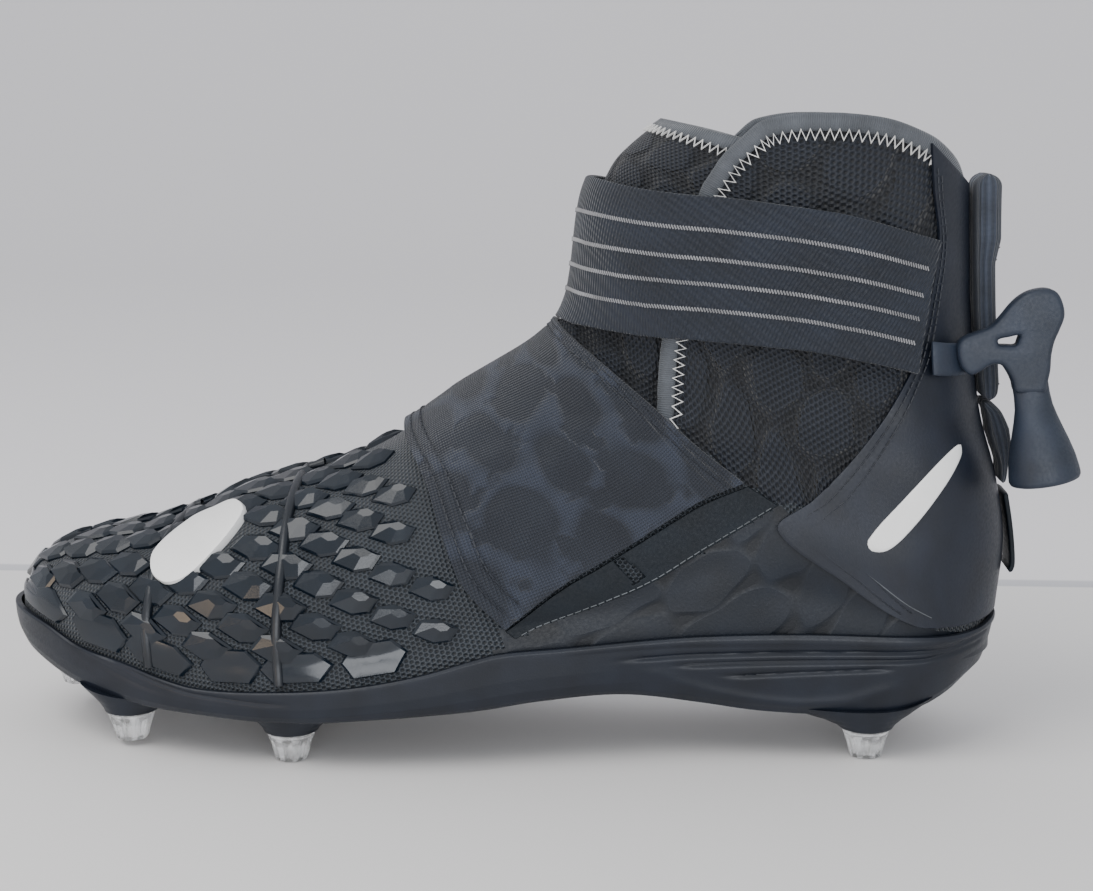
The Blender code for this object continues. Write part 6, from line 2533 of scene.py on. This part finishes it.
            bm = close(grid(50, 96, turn))
            self.bench.piece("clear_stud_" + stud.name, bm, CLEAR_STUD, ["stud_" + stud.name], 30)

    def insole(self) -> None:
        """Cloth-topped insole with a shallow heel cup."""
        inset = UPPER_INSET + UPPER_WALL + 0.0020

        def place(u: np.ndarray, w: np.ndarray) -> np.ndarray:
            """Point of the insole; w runs from under its middle to over it.

            Args:
                u: Shares of the way round.
                w: Shares of the way over.

            Returns:
                Rows of x, y and z.
            """
            to_spine = np.clip((0.3 - w) / 0.3, 0, 1) + np.clip((w - 0.4) / 0.6, 0, 1)
            here = inset + 0.0003 * (np.abs(w - 0.35) > 0.06)
            x, y = self.plan_place(*self.around_plan(u), here, to_spine)
            top = 0.0040 * np.clip((w - 0.3) / 0.1, 0, 1)
            return np.stack([x, y, level(BED_LINE, x) + 0.0009 + top], axis=1)

        bm = grid(180, 30, place)
        weld(bm)
        bmesh.ops.dissolve_degenerate(bm, edges=bm.edges, dist=0.00001)
        bmesh.ops.recalc_face_normals(bm, faces=bm.faces)
        self.bench.piece("insole_cloth", bm, SOCK_CLOTH, ["insole"], 50)

    def build(self) -> None:
        """Make the plate, the studs and the insole."""
        self.plate()
        self.studs()
        self.insole()


TOE_MARK = ((-99.5, 57.5), (-98.5, 53.0), (-93.5, 51.0), (-87.0, 53.0), (-80.5, 58.5), (-74.0, 66.0),
            (-72.0, 70.5), (-76.0, 71.8), (-83.0, 69.0), (-91.0, 65.0))
HEEL_MARK = ((110.5, 67.5), (111.5, 64.5), (116.0, 64.5), (122.0, 69.5), (130.0, 79.5), (137.5, 91.0),
             (137.0, 94.5), (130.0, 89.5), (120.0, 79.0))


@dataclass
class Marks:
    """Plain white shapes on the toe and on the heel."""

    bench: Bench

    def face_of(self, places: np.ndarray) -> np.ndarray:
        """Lateral points of the counter's outer face at flat places in side view.

        Args:
            places: Rows of x and z.

        Returns:
            Rows of x, y and z.
        """
        bpy.context.view_layer.update()
        graph = bpy.context.evaluated_depsgraph_get()
        tree = BVHTree.FromObject(self.bench.counter, graph)
        shift = np.array(self.bench.shift)
        found = []
        for x, z in places + shift[[0, 2]]:
            hit = tree.ray_cast(Vector((x, -1.0, z)), Vector((0.0, 1.0, 0.0)))[0]
            found.append(np.array(hit) - shift)
        return np.array(found)

    def patch(self, name: str, corners: Sequence[tuple[float, float]], lift: float, thickness: float,
              on_counter: bool) -> None:
        """Rounded film laid on the lateral side.

        Args:
            name: Name of the piece.
            corners: Its corners in side view, in millimetres.
            lift: Height of its outer face.
            thickness: Its thickness.
            on_counter: Whether it lies on the counter and not on the vamp.
        """
        outline = resample(np.array(corners) * MM, 72, True)
        middle = outline.mean(axis=0)

        def place(u: np.ndarray, w: np.ndarray) -> np.ndarray:
            """Point of the film; u runs from its middle to its edge and down the wall.

            Args:
                u: Shares of the way out and down.
                w: Shares round the outline.

            Returns:
                Rows of x, y and z.
            """
            share = np.clip(u / 0.9, 0, 1)
            drop = np.clip((u - 0.9) / 0.1, 0, 1)
            i = np.rint(w * 72).astype(int) % 72
            places = middle + (outline[i] - middle) * share[:, None]
            edge = np.clip((share - 0.9) / 0.1, 0, 1) ** 2 * 0.0002
            height = lift - edge - drop * thickness
            if on_counter:
                return self.face_of(places) - np.stack([0 * height, height, 0 * height], axis=1)
            return self.bench.last.lay(places, LATERAL, height)

        self.bench.piece(name, close(grid(16, 72, place)), FILM, (), 50)

    def build(self) -> None:
        """Lay both shapes on the lateral side."""
        self.patch("toe_white_shape", TOE_MARK, 0.0026, 0.0026, False)
        self.patch("heel_white_shape", HEEL_MARK, 0.0004, 0.0008, True)


@dataclass
class Stage:
    """Pale floor that sweeps up into a backdrop, soft lights and the camera."""

    line_y: float = 0.198
    line_width: float = 0.012
    # Tones across the line: the floor, a dark band that is painted shadow along the line, and the far tone.
    paints: tuple[tuple[float, tuple[float, float, float]], ...] = (
        (0.22, (0.80, 0.785, 0.775)), (0.30, (0.56, 0.56, 0.59)),
        (0.66, (0.60, 0.60, 0.63)), (0.80, (0.86, 0.84, 0.85)),
    )
    reach: float = 4.0
    cove_start: float = 1.6
    cove_radius: float = 1.4
    camera_at: tuple[float, float, float] = (0.0453, -0.5827, 0.1895)
    turn: float = 3.8
    pitch: float = 9.8
    lens: float = 64.23

    def paint(self) -> bpy.types.Material:
        """Matt pale paint, a little cooler past the line drawn where the floor would meet the backdrop, with
        a dark band along that line that is painted shadow.

        Returns:
            The material.
        """
        material = bpy.data.materials.new("stage_paint")
        material.use_nodes = True
        nodes = Nodes(material.node_tree)
        shader = material.node_tree.nodes["Principled BSDF"]
        split = nodes.add("ShaderNodeSeparateXYZ")
        nodes.join(nodes.add("ShaderNodeTexCoord").outputs["Object"], split.inputs[0])
        past = nodes.add("ShaderNodeMapRange")
        past.inputs["From Min"].default_value = self.line_y - self.line_width
        past.inputs["From Max"].default_value = self.line_y + self.line_width
        nodes.join(split.outputs[1], past.inputs["Value"])
        # The dark middle stops paint a shadow along the line.
        ramp = nodes.add("ShaderNodeValToRGB")
        nodes.join(past.outputs[0], ramp.inputs["Fac"])
        stops = ramp.color_ramp.elements
        for _ in range(2):
            stops.new(0.5)
        for stop, (share, colour) in zip(stops, self.paints):
            stop.position = share
            stop.color = (*colour, 1)
        nodes.join(ramp.outputs[0], shader.inputs["Base Color"])
        shader.inputs["Roughness"].default_value = 0.6
        return material

    def sweep(self) -> None:
        """Floor that curves up into a backdrop far behind the shoe."""
        turns = np.linspace(0, math.pi / 2, 17)
        cove = [(self.cove_start + self.cove_radius * math.sin(t), self.cove_radius * (1 - math.cos(t)))
                for t in turns]
        line = [(-self.reach, 0.0), *cove, (self.cove_start + self.cove_radius, self.reach)]
        rows = np.array(line)

        def place(u: np.ndarray, w: np.ndarray) -> np.ndarray:
            """Point of the sweep; u runs from the front to the top of the backdrop."""
            return np.column_stack([(1 - 2 * w) * self.reach, rows[np.rint(u * (len(rows) - 1)).astype(int)]])

        bm = grid(len(rows) - 1, 1, place)
        mesh = bpy.data.meshes.new("stage_sweep")
        bm.to_mesh(mesh)
        bm.free()
        mesh.shade_smooth()
        obj = bpy.data.objects.new("stage_sweep", mesh)
        mesh.materials.append(self.paint())
        bpy.context.scene.collection.objects.link(obj)

    def lamp(self, name: str, place: tuple[float, float, float], aim: tuple[float, float, float],
             size: tuple[float, float], power: float, colour: tuple[float, float, float]) -> None:
        """Soft area light that looks from a place at a point.

        Args:
            name: Its name.
            place: Where it stands, in metres.
            aim: The point that it looks at.
            size: Its width and height.
            power: Its power in watts.
            colour: Red, green and blue.
        """
        light = bpy.data.lights.new(name, "AREA")
        light.shape = "RECTANGLE"
        light.size, light.size_y = size
        light.energy = power
        light.color = colour
        obj = bpy.data.objects.new(name, light)
        obj.location = place
        obj.rotation_euler = (Vector(aim) - Vector(place)).to_track_quat("-Z", "Y").to_euler()
        bpy.context.scene.collection.objects.link(obj)

    def build(self) -> None:
        """Make the sweep, lights, world and camera."""
        self.sweep()
        self.lamp("key_light", (-0.55, -0.55, 1.10), (0, 0, 0.05), (1.1, 0.7), 9.5, (1.0, 0.985, 0.96))
        self.lamp("front_light", (0.2, -1.3, 0.24), (0, 0, 0.03), (1.4, 0.35), 9.0, (0.95, 0.97, 1.0))
        self.lamp("warm_card", (-0.55, -0.55, 0.05), (-0.08, 0, 0.05), (0.25, 0.12), 0.5, (1.0, 0.75, 0.5))
        world = bpy.data.worlds.new("soft_room")
        world.use_nodes = True
        world.node_tree.nodes["Background"].inputs["Color"].default_value = (0.86, 0.88, 0.92, 1)
        world.node_tree.nodes["Background"].inputs["Strength"].default_value = 1.0
        bpy.context.scene.world = world
        lens = bpy.data.cameras.new("photo_camera")
        lens.lens = self.lens
        lens.sensor_width = 36.0
        camera = bpy.data.objects.new("photo_camera", lens)
        camera.location = self.camera_at
        camera.rotation_euler = (math.radians(90 - self.pitch), 0, math.radians(self.turn))
        bpy.context.scene.collection.objects.link(camera)
        bpy.context.scene.camera = camera


def main() -> None:
    """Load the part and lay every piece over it."""
    logging.basicConfig(level=logging.INFO, format="%(message)s")
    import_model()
    bench = Bench()
    SolePlate(bench).build()
    Upper(bench).build()
    Scales(bench).build()
    Tongue(bench).build()
    Heel(bench).build()
    Straps(bench).build()
    RubberPull(bench).build()
    Marks(bench).build()
    Stage().build()
    bpy.context.view_layer.update()


if __name__ == "__main__":
    main()
